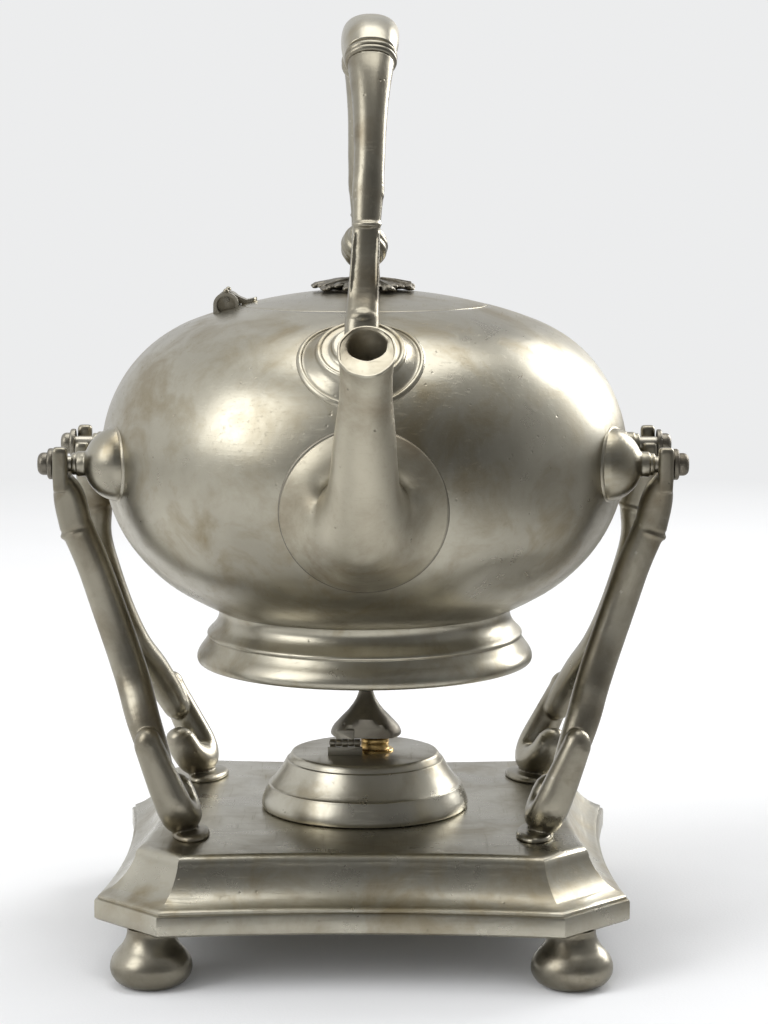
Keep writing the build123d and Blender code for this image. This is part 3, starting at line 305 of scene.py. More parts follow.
@dataclass
class Finishes:
    """Every finish on the kettle and its stand, built once."""

    spun: bpy.types.Material = field(default_factory=PewterFinish(
        "spun_pewter", turned=0.05, dirt_and_shade=0.5).build)
    cast: bpy.types.Material = field(default_factory=PewterFinish(
        "cast_pewter", bright=(0.33, 0.306, 0.244), dull=(0.245, 0.226, 0.177), stain=(0.165, 0.137, 0.092),
        smooth=(0.27, 0.4), dirt_and_shade=0.85, pits=0.4).build)
    plate: bpy.types.Material = field(default_factory=PewterFinish(
        "plinth_pewter", bright=(0.43, 0.407, 0.335), dull=(0.34, 0.32, 0.26), smooth=(0.24, 0.36),
        dirt_and_shade=0.5).build)
    lamp: bpy.types.Material = field(default_factory=PewterFinish(
        "lamp_pewter", bright=(0.47, 0.445, 0.37), dull=(0.37, 0.348, 0.285), turned=0.04, dirt_and_shade=0.5).build)
    spout: bpy.types.Material = field(default_factory=PewterFinish(
        "spout_pewter", bright=(0.43, 0.397, 0.312), dull=(0.37, 0.343, 0.267), stain=(0.24, 0.2, 0.138),
        smooth=(0.36, 0.5), dirt_and_shade=0.4, pits=0.5).build)
    dark: bpy.types.Material = field(default_factory=PewterFinish(
        "dark_pewter", bright=(0.24, 0.222, 0.18), dull=(0.165, 0.15, 0.122), stain=(0.1, 0.083, 0.058),
        smooth=(0.34, 0.52), dirt_and_shade=0.9, pits=0.6).build)
    fixing: bpy.types.Material = field(default_factory=PewterFinish(
        "turned_fixing", bright=(0.35, 0.325, 0.27), dull=(0.25, 0.232, 0.19), smooth=(0.28, 0.45)).build)
    brass: bpy.types.Material = field(default_factory=BrassFinish("aged_brass").build)
    wick: bpy.types.Material = field(default_factory=WickFinish("cotton_wick").build)


# ------------------------------------------------------------------ modelling in millimetres
@dataclass(frozen=True)
class Station:
    """One cross-section of a drawn-out form, in millimetres.

    Args:
        at: centre of the section.
        wide: half-width across.
        deep: half-depth, at right angles to the width.
    """

    at: tuple[float, float, float]
    wide: float
    deep: float


def rounded(stations: Sequence[Station], per_span: int = 5) -> list[Station]:
    """Return the stations with smooth ones added between them.

    Args:
        stations: the sections that set the form.
        per_span: how many sections each span is divided into.

    Returns:
        The longer run, which passes through every given section.
    """
    rows = [Vector((*s.at, s.wide, s.deep)) for s in stations]
    rows = [rows[0] * 2 - rows[1]] + rows + [rows[-1] * 2 - rows[-2]]
    run: list[Station] = []
    for p0, p1, p2, p3 in zip(rows, rows[1:], rows[2:], rows[3:]):
        for step in range(per_span):
            t = step / per_span
            p = 0.5 * (2 * p1 + (p2 - p0) * t + (2 * p0 - 5 * p1 + 4 * p2 - p3) * t**2
                       + (3 * p1 - p0 - 3 * p2 + p3) * t**3)
            run.append(Station(tuple(p[:3]), p[3], p[4]))
    return run + [stations[-1]]


def section_matrix(at: Vector, along: Vector, wide: float, deep: float, across: Vector) -> Matrix:
    """Return the matrix that puts a unit circle on a section.

    Args:
        at: centre of the section.
        along: direction the form runs in.
        wide: half-width, along across.
        deep: half-depth.
        across: direction that the width is nearest to.

    Returns:
        A 4 by 4 matrix.
    """
    z = along.normalized()
    x = (across - z * across.dot(z)).normalized()
    y = z.cross(x)
    turn = Matrix((x, y, z)).transposed().to_4x4()
    return Matrix.Translation(at) @ turn @ Matrix.Diagonal((wide, deep, 1, 1))


class Shape:
    """A piece's mesh while it is modelled, in millimetres in the object's own frame."""

    def __init__(self) -> None:
        """Start an empty mesh."""
        self.bm = bmesh.new()

    def lathe(self, profile: Outline, steps: int = 96, turn: Matrix = Matrix.Identity(4)) -> list:
        """Spin a profile round the Z axis and then place it.

        Args:
            profile: radius and height of each point.
            steps: how many sides the form has.
            turn: where the form goes.

        Returns:
            The new vertices.
        """
        old = set(self.bm.verts)
        chain = [self.bm.verts.new((r, 0, z)) for r, z in profile]
        edges = [self.bm.edges.new(pair) for pair in zip(chain, chain[1:])]
        bmesh.ops.spin(self.bm, geom=chain + edges, cent=(0, 0, 0), axis=(0, 0, 1), angle=math.tau,
                       steps=steps, use_merge=True, use_normal_flip=False, use_duplicate=False)
        made = [v for v in self.bm.verts if v not in old]
        bmesh.ops.remove_doubles(self.bm, verts=made, dist=0.001)
        made = [v for v in self.bm.verts if v not in old]
        bmesh.ops.transform(self.bm, matrix=turn, verts=made)
        return made

    def loft(self, stations: Sequence[Station], steps: int = 32, square: float = 2.0,
             across: Vector = Vector((1, 0, 0)), ends: tuple[bool, bool] = (True, True),
             planes: Sequence[Vector] | None = None) -> list:
        """Draw a section out along a run of stations.

        Args:
            stations: the sections, in order.
            steps: how many sides the form has.
            square: 2 for oval sections, more for squarer ones.
            across: direction of the sections' width.
            ends: whether the first and the last end are closed.
            planes: direction of each section, when it isn't that of the run.

        Returns:
            The new vertices.
        """
        old = set(self.bm.verts)
        points = [Vector(s.at) for s in stations]
        matrices = []
        for index, station in enumerate(stations):
            along = points[min(index + 1, len(points) - 1)] - points[max(index - 1, 0)]
            if planes:
                along = planes[index]
            matrices.append(section_matrix(points[index], along, station.wide, station.deep, across))
        first = bmesh.ops.create_circle(self.bm, cap_ends=ends[0], segments=steps, radius=1.0)
        for vert in first["verts"]:
            x, y = vert.co.x, vert.co.y
            vert.co.x = math.copysign(abs(x) ** (2 / square), x)
            vert.co.y = math.copysign(abs(y) ** (2 / square), y)
        bmesh.ops.transform(self.bm, matrix=matrices[0], verts=first["verts"])
        edges = list({e for v in first["verts"] for e in v.link_edges})
        for before, after in zip(matrices, matrices[1:]):
            grown = bmesh.ops.extrude_edge_only(self.bm, edges=edges)["geom"]
            verts = [g for g in grown if isinstance(g, bmesh.types.BMVert)]
            ring = set(verts)
            edges = [g for g in grown if isinstance(g, bmesh.types.BMEdge) and set(g.verts) <= ring]
            bmesh.ops.transform(self.bm, matrix=after @ before.inverted(), verts=verts)
        if ends[1]:
            bmesh.ops.contextual_create(self.bm, geom=edges)
        return [v for v in self.bm.verts if v not in old]

    def lump(self, at: Sequence[float], size: Sequence[float], turn: Matrix = Matrix.Identity(4),
             finer: int = 3) -> None:
        """Add an egg-shaped lump.

        Args:
            at: its centre.
            size: its three half-sizes.
            turn: how it is turned about its centre.
            finer: how finely it is divided.
        """
        place = Matrix.Translation(Vector(at)) @ turn @ Matrix.Diagonal((*size, 1))
        bmesh.ops.create_icosphere(self.bm, subdivisions=finer, radius=1.0, matrix=place)

    def copy_node(self, node: str) -> None:
        """Start from a copy of a frame part, with its loose triangles joined."""
        self.bm.from_mesh(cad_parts[node].data)
        bmesh.ops.scale(self.bm, vec=(1 / MM,) * 3, verts=self.bm.verts[:])
        bmesh.ops.remove_doubles(self.bm, verts=self.bm.verts[:], dist=0.002)
        bmesh.ops.dissolve_limit(self.bm, angle_limit=math.radians(0.5), verts=self.bm.verts[:],
                                 edges=self.bm.edges[:], use_dissolve_boundaries=False)

    def soften(self, offset: float, angle: float = 35.0, segments: int = 3) -> None:
        """Round every edge that turns by more than an angle.

        Args:
            offset: width of the rounding.
            angle: least turn, in degrees.
            segments: how many faces the rounding has.
        """
        least = math.radians(angle)
        sharp = [e for e in self.bm.edges if len(e.link_faces) == 2 and e.calc_face_angle(0) > least]
        bmesh.ops.bevel(self.bm, geom=sharp, offset=offset, offset_type="OFFSET", affect="EDGES",
                        segments=segments, profile=0.5, material=-1, clamp_overlap=True)

    def shift(self, move: Callable[[Vector], Vector]) -> None:
        """Move every vertex by a function of where it is."""
        for vert in self.bm.verts:
            vert.co += move(vert.co)

    def mirror_x(self) -> None:
        """Turn the piece into its mirror image across the middle."""
        bmesh.ops.scale(self.bm, vec=(-1, 1, 1), verts=self.bm.verts[:])

    def mirror_y(self) -> None:
        """Turn the piece into its mirror image from front to rear."""
        bmesh.ops.scale(self.bm, vec=(1, -1, 1), verts=self.bm.verts[:])


@dataclass
class Workshop:
    """Turns shapes into finished pieces that ride on the frame.

    Args:
        finishes: the materials to use.
    """

    finishes: Finishes

    def finish(self, shape: Shape, name: str, body: Body, slot: Slot, material: bpy.types.Material,
               stands_for: Iterable[str] | None = None, crease: float = 40.0, fuse: float = 0.0, ease: int = 0,
               wall: float = 0.0) -> bpy.types.Object:
        """Make the piece's object, dress it and put it on its body.

        Args:
            shape: the modelled shape.
            name: the piece's name.
            body: the body it rides on.
            slot: the record's material slot; not used.
            material: its finish.
            stands_for: frame parts that it replaces; None is the part that has the piece's name.
            crease: turn above which an edge stays sharp, in degrees.
            fuse: size of the grid that joins a casting's lumps, in millimetres, or 0.
            ease: how many times the joined surface is smoothed.
            wall: thickness given to an open skin, in millimetres, or 0.

        Returns:
            The new object.
        """
        bm = shape.bm
        bmesh.ops.remove_doubles(bm, verts=bm.verts[:], dist=0.002)
        bmesh.ops.recalc_face_normals(bm, faces=bm.faces[:])
        bmesh.ops.scale(bm, vec=(MM,) * 3, verts=bm.verts[:])
        mesh = bpy.data.meshes.new(name)
        bm.to_mesh(mesh)
        bm.free()
        mesh.polygons.foreach_set("use_smooth", [True] * len(mesh.polygons))
        if not fuse:
            mesh.set_sharp_from_angle(angle=math.radians(crease))
        mesh.materials.append(material)
        piece = bpy.data.objects.new(name, mesh)
        bpy.context.scene.collection.objects.link(piece)
        if fuse:
            grid = piece.modifiers.new("fuse", "REMESH")
            grid.mode = "VOXEL"
            grid.voxel_size = fuse * MM
            grid.use_smooth_shade = True
            if ease:
                smooth = piece.modifiers.new("ease", "SMOOTH")
                smooth.factor = 0.5
                smooth.iterations = ease
        if wall:
            skin = piece.modifiers.new("wall", "SOLIDIFY")
            skin.thickness = wall * MM
            skin.offset = -1.0
        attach(piece, body.value)
        replaced = (name,) if stands_for is None else tuple(stands_for)
        if replaced:
            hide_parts(*replaced)
        log.info("%s rides on %s", name, body.value)
        return piece

    def soft_copy(self, node: str, body: Body, slot: Slot, material: bpy.types.Material) -> None:
        """Finish a copy of a frame part whose edges are rounded.

        Args:
            node: the part's name, which the piece takes over.
            body: the body it rides on.
            slot: the record's material slot.
            material: its finish.
        """
        shape = Shape()
        shape.copy_node(node)
        shape.soften(0.3, 40)
        self.finish(shape, node, body, slot, material)

    def dress(self, nodes: Iterable[str], material: bpy.types.Material) -> None:
        """Give frame parts whose shape is right their finish."""
        for node in nodes:
            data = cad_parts[node].data
            data.materials.clear()
            data.materials.append(material)
            log.info("%s is dressed with %s", node, material.name)


CORNERS = {"front_right": (1, -1), "front_left": (-1, -1), "rear_right": (1, 1), "rear_left": (-1, 1)}


def arc(centre: tuple[float, float], radius: float, start: float, end: float, steps: int) -> Outline:
    """Return points along an arc of a profile.

    Args:
        centre: the arc's centre, as radius and height.
        radius: the arc's own radius.
        start: first angle in degrees, from outwards towards up.
        end: last angle in degrees.
        steps: how many parts it has.

    Returns:
        The points, both ends included.
    """
    turns = [math.radians(start + (end - start) * i / steps) for i in range(steps + 1)]
    return [(centre[0] + radius * math.cos(a), centre[1] + radius * math.sin(a)) for a in turns]


# ------------------------------------------------------------------ the oval body's own geometry
@dataclass(frozen=True)
class Oval:
    """The kettle's oval: each half is a crown arc that runs into a side arc.

    Args:
        wide_z: height of the widest place.
        radius: largest radius.
        upper: height of the upper half and radius of its side arc.
        lower: height of the lower half and radius of its side arc.
    """

    wide_z: float = 190.0
    radius: float = 102.4
    upper: tuple[float, float] = (63.5, 55.0)
    lower: tuple[float, float] = (73.5, 62.0)

    def crown(self, half: tuple[float, float]) -> tuple[float, float, float]:
        """Return a crown arc's radius, how far past the middle its centre lies, and the angle at its end."""
        height, side = half
        reach = self.radius - side
        radius = (reach**2 + height**2 - side**2) / (2 * (height - side))
        return radius, radius - height, math.degrees(math.atan2(reach, radius - height))

    def top_z(self, reach: float, inset: float = 0.0) -> float:
        """Return the height of the upper skin at a distance from the axis."""
        radius, drop, angle = self.crown(self.upper)
        if reach < radius * math.sin(math.radians(angle)):
            return self.wide_z - drop + math.sqrt((radius - inset) ** 2 - reach**2)
        side = self.upper[1]
        return self.wide_z + math.sqrt(max((side - inset) ** 2 - (reach - self.radius + side) ** 2, 0.0))

    def side_radius(self, z: float, off: float = 0.0) -> float:
        """Return the radius at a height of a skin that stands off the side by a distance."""
        side = (self.upper if z >= self.wide_z else self.lower)[1]
        return self.radius - side + math.sqrt(max((side + off) ** 2 - (z - self.wide_z) ** 2, 0.0))

    def clearance(self, co: Vector) -> float:
        """Return how far a point stands off the skin."""
        reach, rise = math.hypot(co.x, co.y), abs(co.z - self.wide_z)
        half = self.upper if co.z >= self.wide_z else self.lower
        radius, drop, angle = self.crown(half)
        if math.degrees(math.atan2(reach, rise + drop)) < angle:
            return math.hypot(reach, rise + drop) - radius
        return math.hypot(reach - self.radius + half[1], rise) - half[1]

    def drape(self, co: Vector, axis: Vector, off: float) -> Vector:
        """Return a point moved along an axis until it stands off the skin by a distance."""
        spot = co.copy()
        for _ in range(6):
            spot += axis * (off - self.clearance(spot))
        return spot

    def profile(self, opening: float) -> Outline:
        """Return the outline from the lid opening down to the middle of the bottom."""
        high, high_drop, high_angle = self.crown(self.upper)
        low, low_drop, low_angle = self.crown(self.lower)
        start = 90 - math.degrees(math.asin(opening / high))
        top = arc((0, self.wide_z - high_drop), high, start, 90 - high_angle, 10)
        over = arc((self.radius - self.upper[1], self.wide_z), self.upper[1], 90 - high_angle, 0, 22)
        under = arc((self.radius - self.lower[1], self.wide_z), self.lower[1], 0, low_angle - 90, 20)
        bottom = arc((0, self.wide_z + low_drop), low, low_angle - 90, -90, 24)
        return top + over[1:] + under[1:] + bottom[1:]


OVAL = Oval()


# ------------------------------------------------------------------ stand
@dataclass
class Stand:
    """The plinth with its bun feet and four scrolled legs.

    Args:
        shop: where pieces are finished.
        half_x: half of the rim's width.
        half_y: half of the rim's depth.
        rim_z: underside of the rim.
        rim_top_z: top of the rim's flat band.
        plate_z: top of the plate.
        corner: length of the cut corner at the rim.
        plate_corner: length of the cut corner at the plate.
        hollow: how far each side curves in.
        wall: thickness of the plate.
        cove: reach and rise of the curved face between rim and shoulder.
        shoulder: radius of the rounded shoulder.
        foot_x: distance of the feet from the middle, across.
        foot_y: distance of the feet from the middle, from front to rear.
        leg_x: distance of the legs' pads from the middle, across.
        leg_y: distance of the legs' pads from the middle, from front to rear.
        lean: how far a leg leans outwards for each millimetre that it rises.
        bow: how far the front and the rear leg swell outwards half way up.
        step_x: distance of the moulded step from the middle.
        step_z: height of the moulded step.
        fork_x: distance of the fork's middle from the kettle's, across.
        fork_y: distance of the spindles from the middle, from front to rear.
        fork_z: height of the spindles.
    """

    shop: Workshop
    half_x: float = 100.0
    half_y: float = 98.0
    rim_z: float = 22.0
    rim_top_z: float = 30.0
    plate_z: float = 48.6
    corner: float = 25.5
    plate_corner: float = 15.0
    hollow: float = 5.5
    wall: float = 3.2
    cove: float = 13.2
    shoulder: float = 4.1
    foot_x: float = 78.0
    foot_y: float = 82.0
    leg_x: float = 65.5
    leg_y: float = 49.0
    lean: float = 0.369
    bow: tuple[float, float] = (1.4, 5.6)
    step_x: float = 109.0
    step_z: float = 165.7
    fork_x: float = 114.2
    fork_y: float = 36.0
    fork_z: float = 189.2

    def outline(self, inset: float, z: float, per_side: int = 24) -> list[Vector]:
        """Return the plinth's outline at a height, drawn in by an inset."""
        x, y = self.half_x - inset, self.half_y - inset
        share = min(inset / 19.0, 1.0)
        corner = self.corner + (self.plate_corner - self.corner) * share
        hollow = self.hollow * (1 - 0.3 * share)
        points: list[Vector] = []
        for nx, ny, half, reach in ((0, -1, x, y), (1, 0, y, x), (0, 1, x, y), (-1, 0, y, x)):
            run = half - corner
            for i in range(per_side + 1):
                s = -1 + 2 * i / per_side
                depth = reach - hollow * (1 - s * s)
                along = Vector((-ny, nx, 0)) * s * run
                points.append(Vector((nx, ny, 0)) * depth + along + Vector((0, 0, z)))
        return points

    def plinth(self) -> None:
        """Build the hollow plinth: flat rim, small step, hollow face and rounded shoulder."""
        rings = [(0.0, self.rim_z + 0.8), (0.0, self.rim_top_z - 0.9), (0.3, self.rim_top_z - 0.25),
                 (0.9, self.rim_top_z), (1.3, self.rim_top_z + 0.1), (1.4, self.rim_top_z + 1.0)]
        for share in (i / 14 for i in range(15)):
            turn = share * math.pi / 2
            rings.append((1.7 + self.cove / 2 * (math.sin(turn) + share),
                          self.rim_top_z + 1.3 + self.cove / 2 * (1 - math.cos(turn) + share)))
        rings += [(14.9 + self.shoulder * (1 - math.cos(a)), self.plate_z - self.shoulder * (1 - math.sin(a)))
                  for a in (math.radians(90 * i / 7) for i in range(1, 8))]
        inner = [(0.8, self.rim_z), (3.2, self.rim_z), (3.2, 28.2), (8.0, 31.2), (13.5, 36.2), (18.0, 42.4),
                 (22.0, self.plate_z - self.wall)]
        shape = Shape()
        first = self.outline(*rings[0])
        start = bmesh.ops.create_circle(shape.bm, cap_ends=False, segments=len(first), radius=1.0)["verts"]
        for vert, spot in zip(start, first):
            vert.co = spot
        first_edges = list({e for v in start for e in v.link_edges})
        for course in (rings[1:], inner):
            edges, verts = first_edges, list(start)
            for inset, z in course:
                grown = bmesh.ops.extrude_edge_only(shape.bm, edges=edges)["geom"]
                fresh = {g for g in grown if isinstance(g, bmesh.types.BMVert)}
                edges = [g for g in grown if isinstance(g, bmesh.types.BMEdge) and set(g.verts) <= fresh]
                following = []
                for old in verts:
                    ends = (e.other_vert(old) for e in old.link_edges)
                    following.append(next(end for end in ends if end in fresh))
                verts = following
                for vert, spot in zip(verts, self.outline(inset, z)):
                    vert.co = spot
            bmesh.ops.contextual_create(shape.bm, geom=edges)
        bmesh.ops.recalc_face_normals(shape.bm, faces=shape.bm.faces[:])
        self.shop.finish(shape, "plinth", Body.STAND, Slot.PEWTER, self.shop.finishes.plate, ("base_plinth",),
                         28)

    def feet(self) -> None:
        """Build the four turned bun feet."""
        bun = [(0, 0.0), (8.6, 0.0), (9.8, 0.3), (12.8, 2.0), (14.8, 4.7), (15.3, 7.4), (14.7, 10.2),
               (13.1, 12.8), (11.2, 15.0), (9.8, 17.2), (9.0, 19.4), (8.8, 21.2), (8.8, self.rim_z),
               (2.4, self.rim_z), (2.4, 29.4), (0, 29.4)]
        smooth = [(s.at[0], s.at[2]) for s in rounded([Station((r, 0, z), 1, 1) for r, z in bun[2:-3]], 4)]
        for name, (sx, sy) in CORNERS.items():
            shape = Shape()
            place = Matrix.Translation((self.foot_x * sx, self.foot_y * sy, 0))
            shape.lathe(bun[:2] + smooth + bun[-3:], 72, place)
            self.shop.finish(shape, f"bun_foot_{name}", Body.STAND, Slot.PEWTER, self.shop.finishes.cast,
                             crease=50)

    def spot(self, side_y: int, toe: float, outward: float, z: float) -> Vector:
        """Return a point of the right-hand leg.

        Args:
            side_y: -1 for the front leg and 1 for the rear leg.
            toe: how far its scroll's plane is swung, in degrees.
            outward: distance outwards in the scroll's plane.
            z: height.

        Returns:
            The point, in millimetres.
        """
        swing = math.radians(toe)
        rise = z - self.plate_z
        arch = self.bow[side_y > 0] * math.sin(math.pi * rise / (self.step_z - self.plate_z))
        x = self.leg_x - outward * math.sin(swing) * side_y + self.lean * rise + arch
        return Vector((x, side_y * (self.leg_y + outward * math.cos(swing)), z))

    def leg(self, side_y: int, toe: float) -> Shape:
        """Return the right-hand leg's casting.

        Args:
            side_y: -1 for the front leg and 1 for the rear leg.
            toe: how far its scroll's plane is swung, in degrees.

        Returns:
            The shape, made of lumps that are fused later.
        """
        shape = Shape()
        across = Vector((1, 0.0, -self.lean))

        fork_y = side_y * self.fork_y

        def at(outward: float, z: float) -> Spot:
            """Return a point of this leg."""
            return tuple(self.spot(side_y, toe, outward, z))

        bend = [(-7.6, 66.4, 5.9, 5.4), (-7.7, 63.7, 6.3, 5.8), (-7.1, 60.6, 6.5, 6.0), (-5.4, 58.1, 6.8, 6.1),
                (-2.9, 56.5, 7.0, 6.2), (0.0, 56.0, 7.1, 6.2), (2.9, 56.5, 7.1, 6.2), (5.4, 58.1, 7.0, 6.2),
                (7.1, 60.6, 6.9, 6.1), (7.7, 63.8, 6.8, 6.0), (7.8, 71.0, 6.4, 5.6), (7.9, 79.0, 5.8, 5.2),
                (7.9, 85.4, 5.3, 4.8)]
        shape.loft(rounded([Station(at(o, z), w, d) for o, z, w, d in bend], 4), 28, 2.3, across)
        shape.lump(at(-7.6, 66.2), (5.9, 5.4, 4.8))
        shape.lump(at(7.9, 85.2), (5.3, 4.8, 6.6))
        top = (self.fork_y - self.leg_y) / math.cos(math.radians(toe))
        run = [(3.2, 77.6, 5.4, 5.0), (2.2, 84.6, 6.1, 5.6), (-1.5, 94.6, 6.5, 6.0), (-8.5, 105.6, 6.6, 6.1),
               (-12.2, 119.6, 6.6, 6.1), (top - 0.4, 136.6, 6.5, 6.1), (top, 151.7, 6.3, 6.1)]
        limb = [Station(at(o, z), w, d) for o, z, w, d in run]
        limb.append(Station((self.step_x, fork_y, self.step_z), 6.3, 6.3))
        shape.loft(rounded(limb, 5), 28, 2.3, across)
        shape.lump(at(3.2, 77.6), (5.4, 5.0, 5.4))
        shape.lump((108.6, fork_y, 163.4), (6.9, 6.8, 2.6), Matrix.Rotation(0.35, 4, "Y"))
        sleeve = [(self.step_x, 165.2, 6.2, 6.4), (110.8, 173.6, 6.2, 6.8), (112.3, 179.4, 5.3, 7.4),
                  (113.6, 183.4, 3.4, 7.8)]
        shape.loft(rounded([Station((x, fork_y, z), w, d) for x, z, w, d in sleeve], 4), 28, 2.6,
                   Vector((1, 0, 0)))
        for reach, rise in ((5.6, 1.4), (-5.6, 7.2)):
            outer, top_z = side_y * (self.fork_y - reach), self.fork_z + rise
            prong = [(113.9, 179.4, 2.9, 2.5), (self.fork_x, 186.0, 2.95, 2.5),
                     (self.fork_x, top_z - 2.0, 2.95, 2.45), (self.fork_x, top_z - 0.8, 2.7, 2.1),
                     (self.fork_x, top_z - 0.2, 2.0, 1.3)]
            shape.loft([Station((x, outer, z), w, d) for x, z, w, d in prong], 24, 3.4, Vector((1, 0, 0)))
        seat = [Station((self.fork_x, fork_y, z), 2.9, depth) for z, depth in ((178.6, 5.6), (185.6, 5.4))]
        shape.loft(seat, 24, 4.0, Vector((1, 0, 0)))
        pad = [(0, self.plate_z), (13.4, self.plate_z), (13.4, 49.6), (12.6, 50.5), (10.8, 51.2), (0, 52.0)]
        turn = Matrix.Translation((self.leg_x, side_y * self.leg_y, 0)) @ Matrix.Rotation(
            math.radians(toe * side_y), 4, "Z") @ Matrix.Diagonal((0.54, 1.0, 1.0, 1.0))
        shape.lathe(pad, 40, turn)
        return shape

    def legs(self) -> None:
        """Build the four legs."""
        for name, (sx, sy) in CORNERS.items():
            shape = self.leg(sy, 4.0 if sy < 0 else 17.0)
            if sx < 0:
                shape.mirror_x()
            self.shop.finish(shape, f"leg_{name}", Body.STAND, Slot.PEWTER, self.shop.finishes.cast,
                             fuse=0.5, ease=3)

    def build(self) -> None:
        """Build the whole stand."""
        self.plinth()
        self.feet()
        self.legs()
        hidden = [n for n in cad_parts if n.startswith(("foot_nut", "leg_screw"))]
        self.shop.dress(hidden, self.shop.finishes.fixing)


# ------------------------------------------------------------------ kettle
@dataclass
class Kettle:
    """The oval body with its foot ring, spout and side trunnions.

    Args:
        shop: where pieces are finished.
        opening: radius of the lid opening.
        wall: thickness of the body.
        disc_z: height of the middle of the spout's disc.
        disc_radius: radius of the spout's disc.
        lean: how far the spout stands to the right at its disc, and how much further at its mouth.
        trunnion_x: distance of the trunnions' foot from the middle, across.
        trunnion_y: distance of the trunnions from the middle, from front to rear.
        trunnion_z: height of the trunnions.
    """

    shop: Workshop
    opening: float = 48.1
    wall: float = 1.8
    disc_z: float = 178.7
    disc_radius: float = 30.3
    lean: tuple[float, float] = (1.2, 1.9)
    trunnion_x: float = 91.5
    trunnion_y: float = 36.0
    trunnion_z: float = 189.2

    def dent(self, co: Vector) -> Vector:
        """Return how the knocks of long use move a point of the body."""
        push = Vector()
        out = Vector((co.x, co.y, (co.z - OVAL.wide_z) * 1.6)).normalized()
        for spot, size, depth in (((52, -74, 146), 17.0, 3.0), ((66, -62, 150), 12.0, 1.4),
                                  ((-70, 52, 150), 22.0, 1.2), ((-30, -88, 214), 20.0, 0.5)):
            gap = (co - Vector(spot)).length / size
            push -= out * depth * math.exp(-gap * gap)
        push += out * 0.22 * noise.noise(co * 0.045)
        return push

    def shell(self) -> None:
        """Build the body's skin with its lid opening and seat."""
        shape = Shape()
        shape.lathe(OVAL.profile(self.opening), 192)
        edge = [v for v in shape.bm.verts if v.is_boundary]
        keep = {v: v.co.copy() for v in edge}
        shape.shift(self.dent)
        for vert, co in keep.items():
            vert.co = co
        self.shop.finish(shape, "kettle_shell", Body.KETTLE, Slot.PEWTER, self.shop.finishes.spun,
                         ("kettle_body", "kettle_shoulder"), 50, wall=self.wall)
        seat = Shape()
        seat.lathe([(44.2, 243.16), (50.0, 243.16), (50.0, 245.2), (44.2, 245.2), (44.2, 243.16)], 128)
        self.shop.finish(seat, "lid_seat", Body.KETTLE, Slot.PEWTER, self.shop.finishes.dark, ())

    def foot(self) -> None:
        """Build the moulded ring under the body."""
        outer = [(64.6, 107.6), (65.5, 108.0), (66.0, 109.0), (66.0, 110.4), (65.4, 112.0), (64.4, 113.6),
                 (63.2, 115.2), (62.2, 116.8), (61.6, 118.0), (61.9, 118.5), (62.0, 119.1), (61.6, 119.8),
                 (60.2, 121.2), (58.7, 123.0), (57.7, 124.9), (57.3, 126.6), (57.5, 128.4), (58.4, 130.4)]
        inner = [(56.0, 128.0), (54.4, 121.0), (58.4, 112.0), (61.4, 107.6)]
        run = [(s.at[0], s.at[2]) for s in rounded([Station((r, 0, z), 1, 1) for r, z in outer], 3)]
        shape = Shape()
        shape.lathe(run + inner + [run[0]], 144)
        self.shop.finish(shape, "foot_ring", Body.KETTLE, Slot.PEWTER, self.shop.finishes.spun, crease=60)

    def disc_point(self, angle: float, ring: int) -> Vector:
        """Return a point of the thin-edged disc that carries the spout.

        Args:
            angle: where it lies round the spout, in radians.
            ring: 0 to 2 on the disc's edge, then inwards to the root of the tube at 12.

        Returns:
            The point, in millimetres.
        """
        root = Vector((17.2 * math.cos(angle), -108.0 + 16.6 * math.sin(angle) * math.sin(math.radians(29)),
                       179.8 + 16.6 * math.sin(angle) * math.cos(math.radians(29))))
        share = max(0.0, (ring - 3) / 9)
        edge = self.disc_radius - (0.0, 0.0, 0.2, 0.6)[min(ring, 3)]
        x = edge * math.cos(angle) * (1 - share) + root.x * share
        z = (self.disc_z + edge * math.sin(angle)) * (1 - share) + root.z * share
        down = max(0.0, -math.sin(angle)) ** 1.5
        lens = (2.0 + 2.4 * down) * (1 - (1 - share) ** 2) * (1 - share**4)
        rise = (max(OVAL.clearance(root), 2.0) - 1.3) * share ** (3.2 - 1.9 * down)
        off = (-1.2, 0.8, 1.2, 1.3)[min(ring, 3)] + lens + rise
        return Vector((x, -math.sqrt(OVAL.side_radius(z, off) ** 2 - x * x), z))

    def spout(self) -> None:
        """Build the hollow spout with its disc, slanting mouth and worn lip."""
        course = [(-108.0, 179.8, 29, 17.2, 16.6), (-115.2, 187.0, 50, 13.3, 12.9),
                  (-121.6, 197.6, 61, 11.8, 11.4), (-127.0, 210.0, 66, 10.7, 10.2),
                  (-131.2, 221.5, 66, 9.3, 9.0)]
        disc = [Station((0, ring - 60.0, self.disc_z), 1, 1) for ring in range(12)]
        outside = rounded([Station((0, y, z), a, b) for y, z, _, a, b in course], 6)
        climbs = [s.at[0] for s in rounded([Station((c, 0, 0), 1, 1) for _, _, c, _, _ in course], 6)]
        facing = [Vector((0, -math.cos(math.radians(c)), math.sin(math.radians(c)))) for c in climbs]
        mouth = Vector((0, -math.cos(math.radians(49)), math.sin(math.radians(49))))
        up = Vector((0, math.sin(math.radians(49)), math.cos(math.radians(49))))
        middle = Vector((0, -138.6, 240.0))

        def ring(a: float, b: float, lift: float = 0.0, rise: float = 0.0) -> Station:
            """Return a section in the plane of the mouth, moved up along it and out of it."""
            return Station(tuple(middle + up * lift + mouth * rise), a, b)

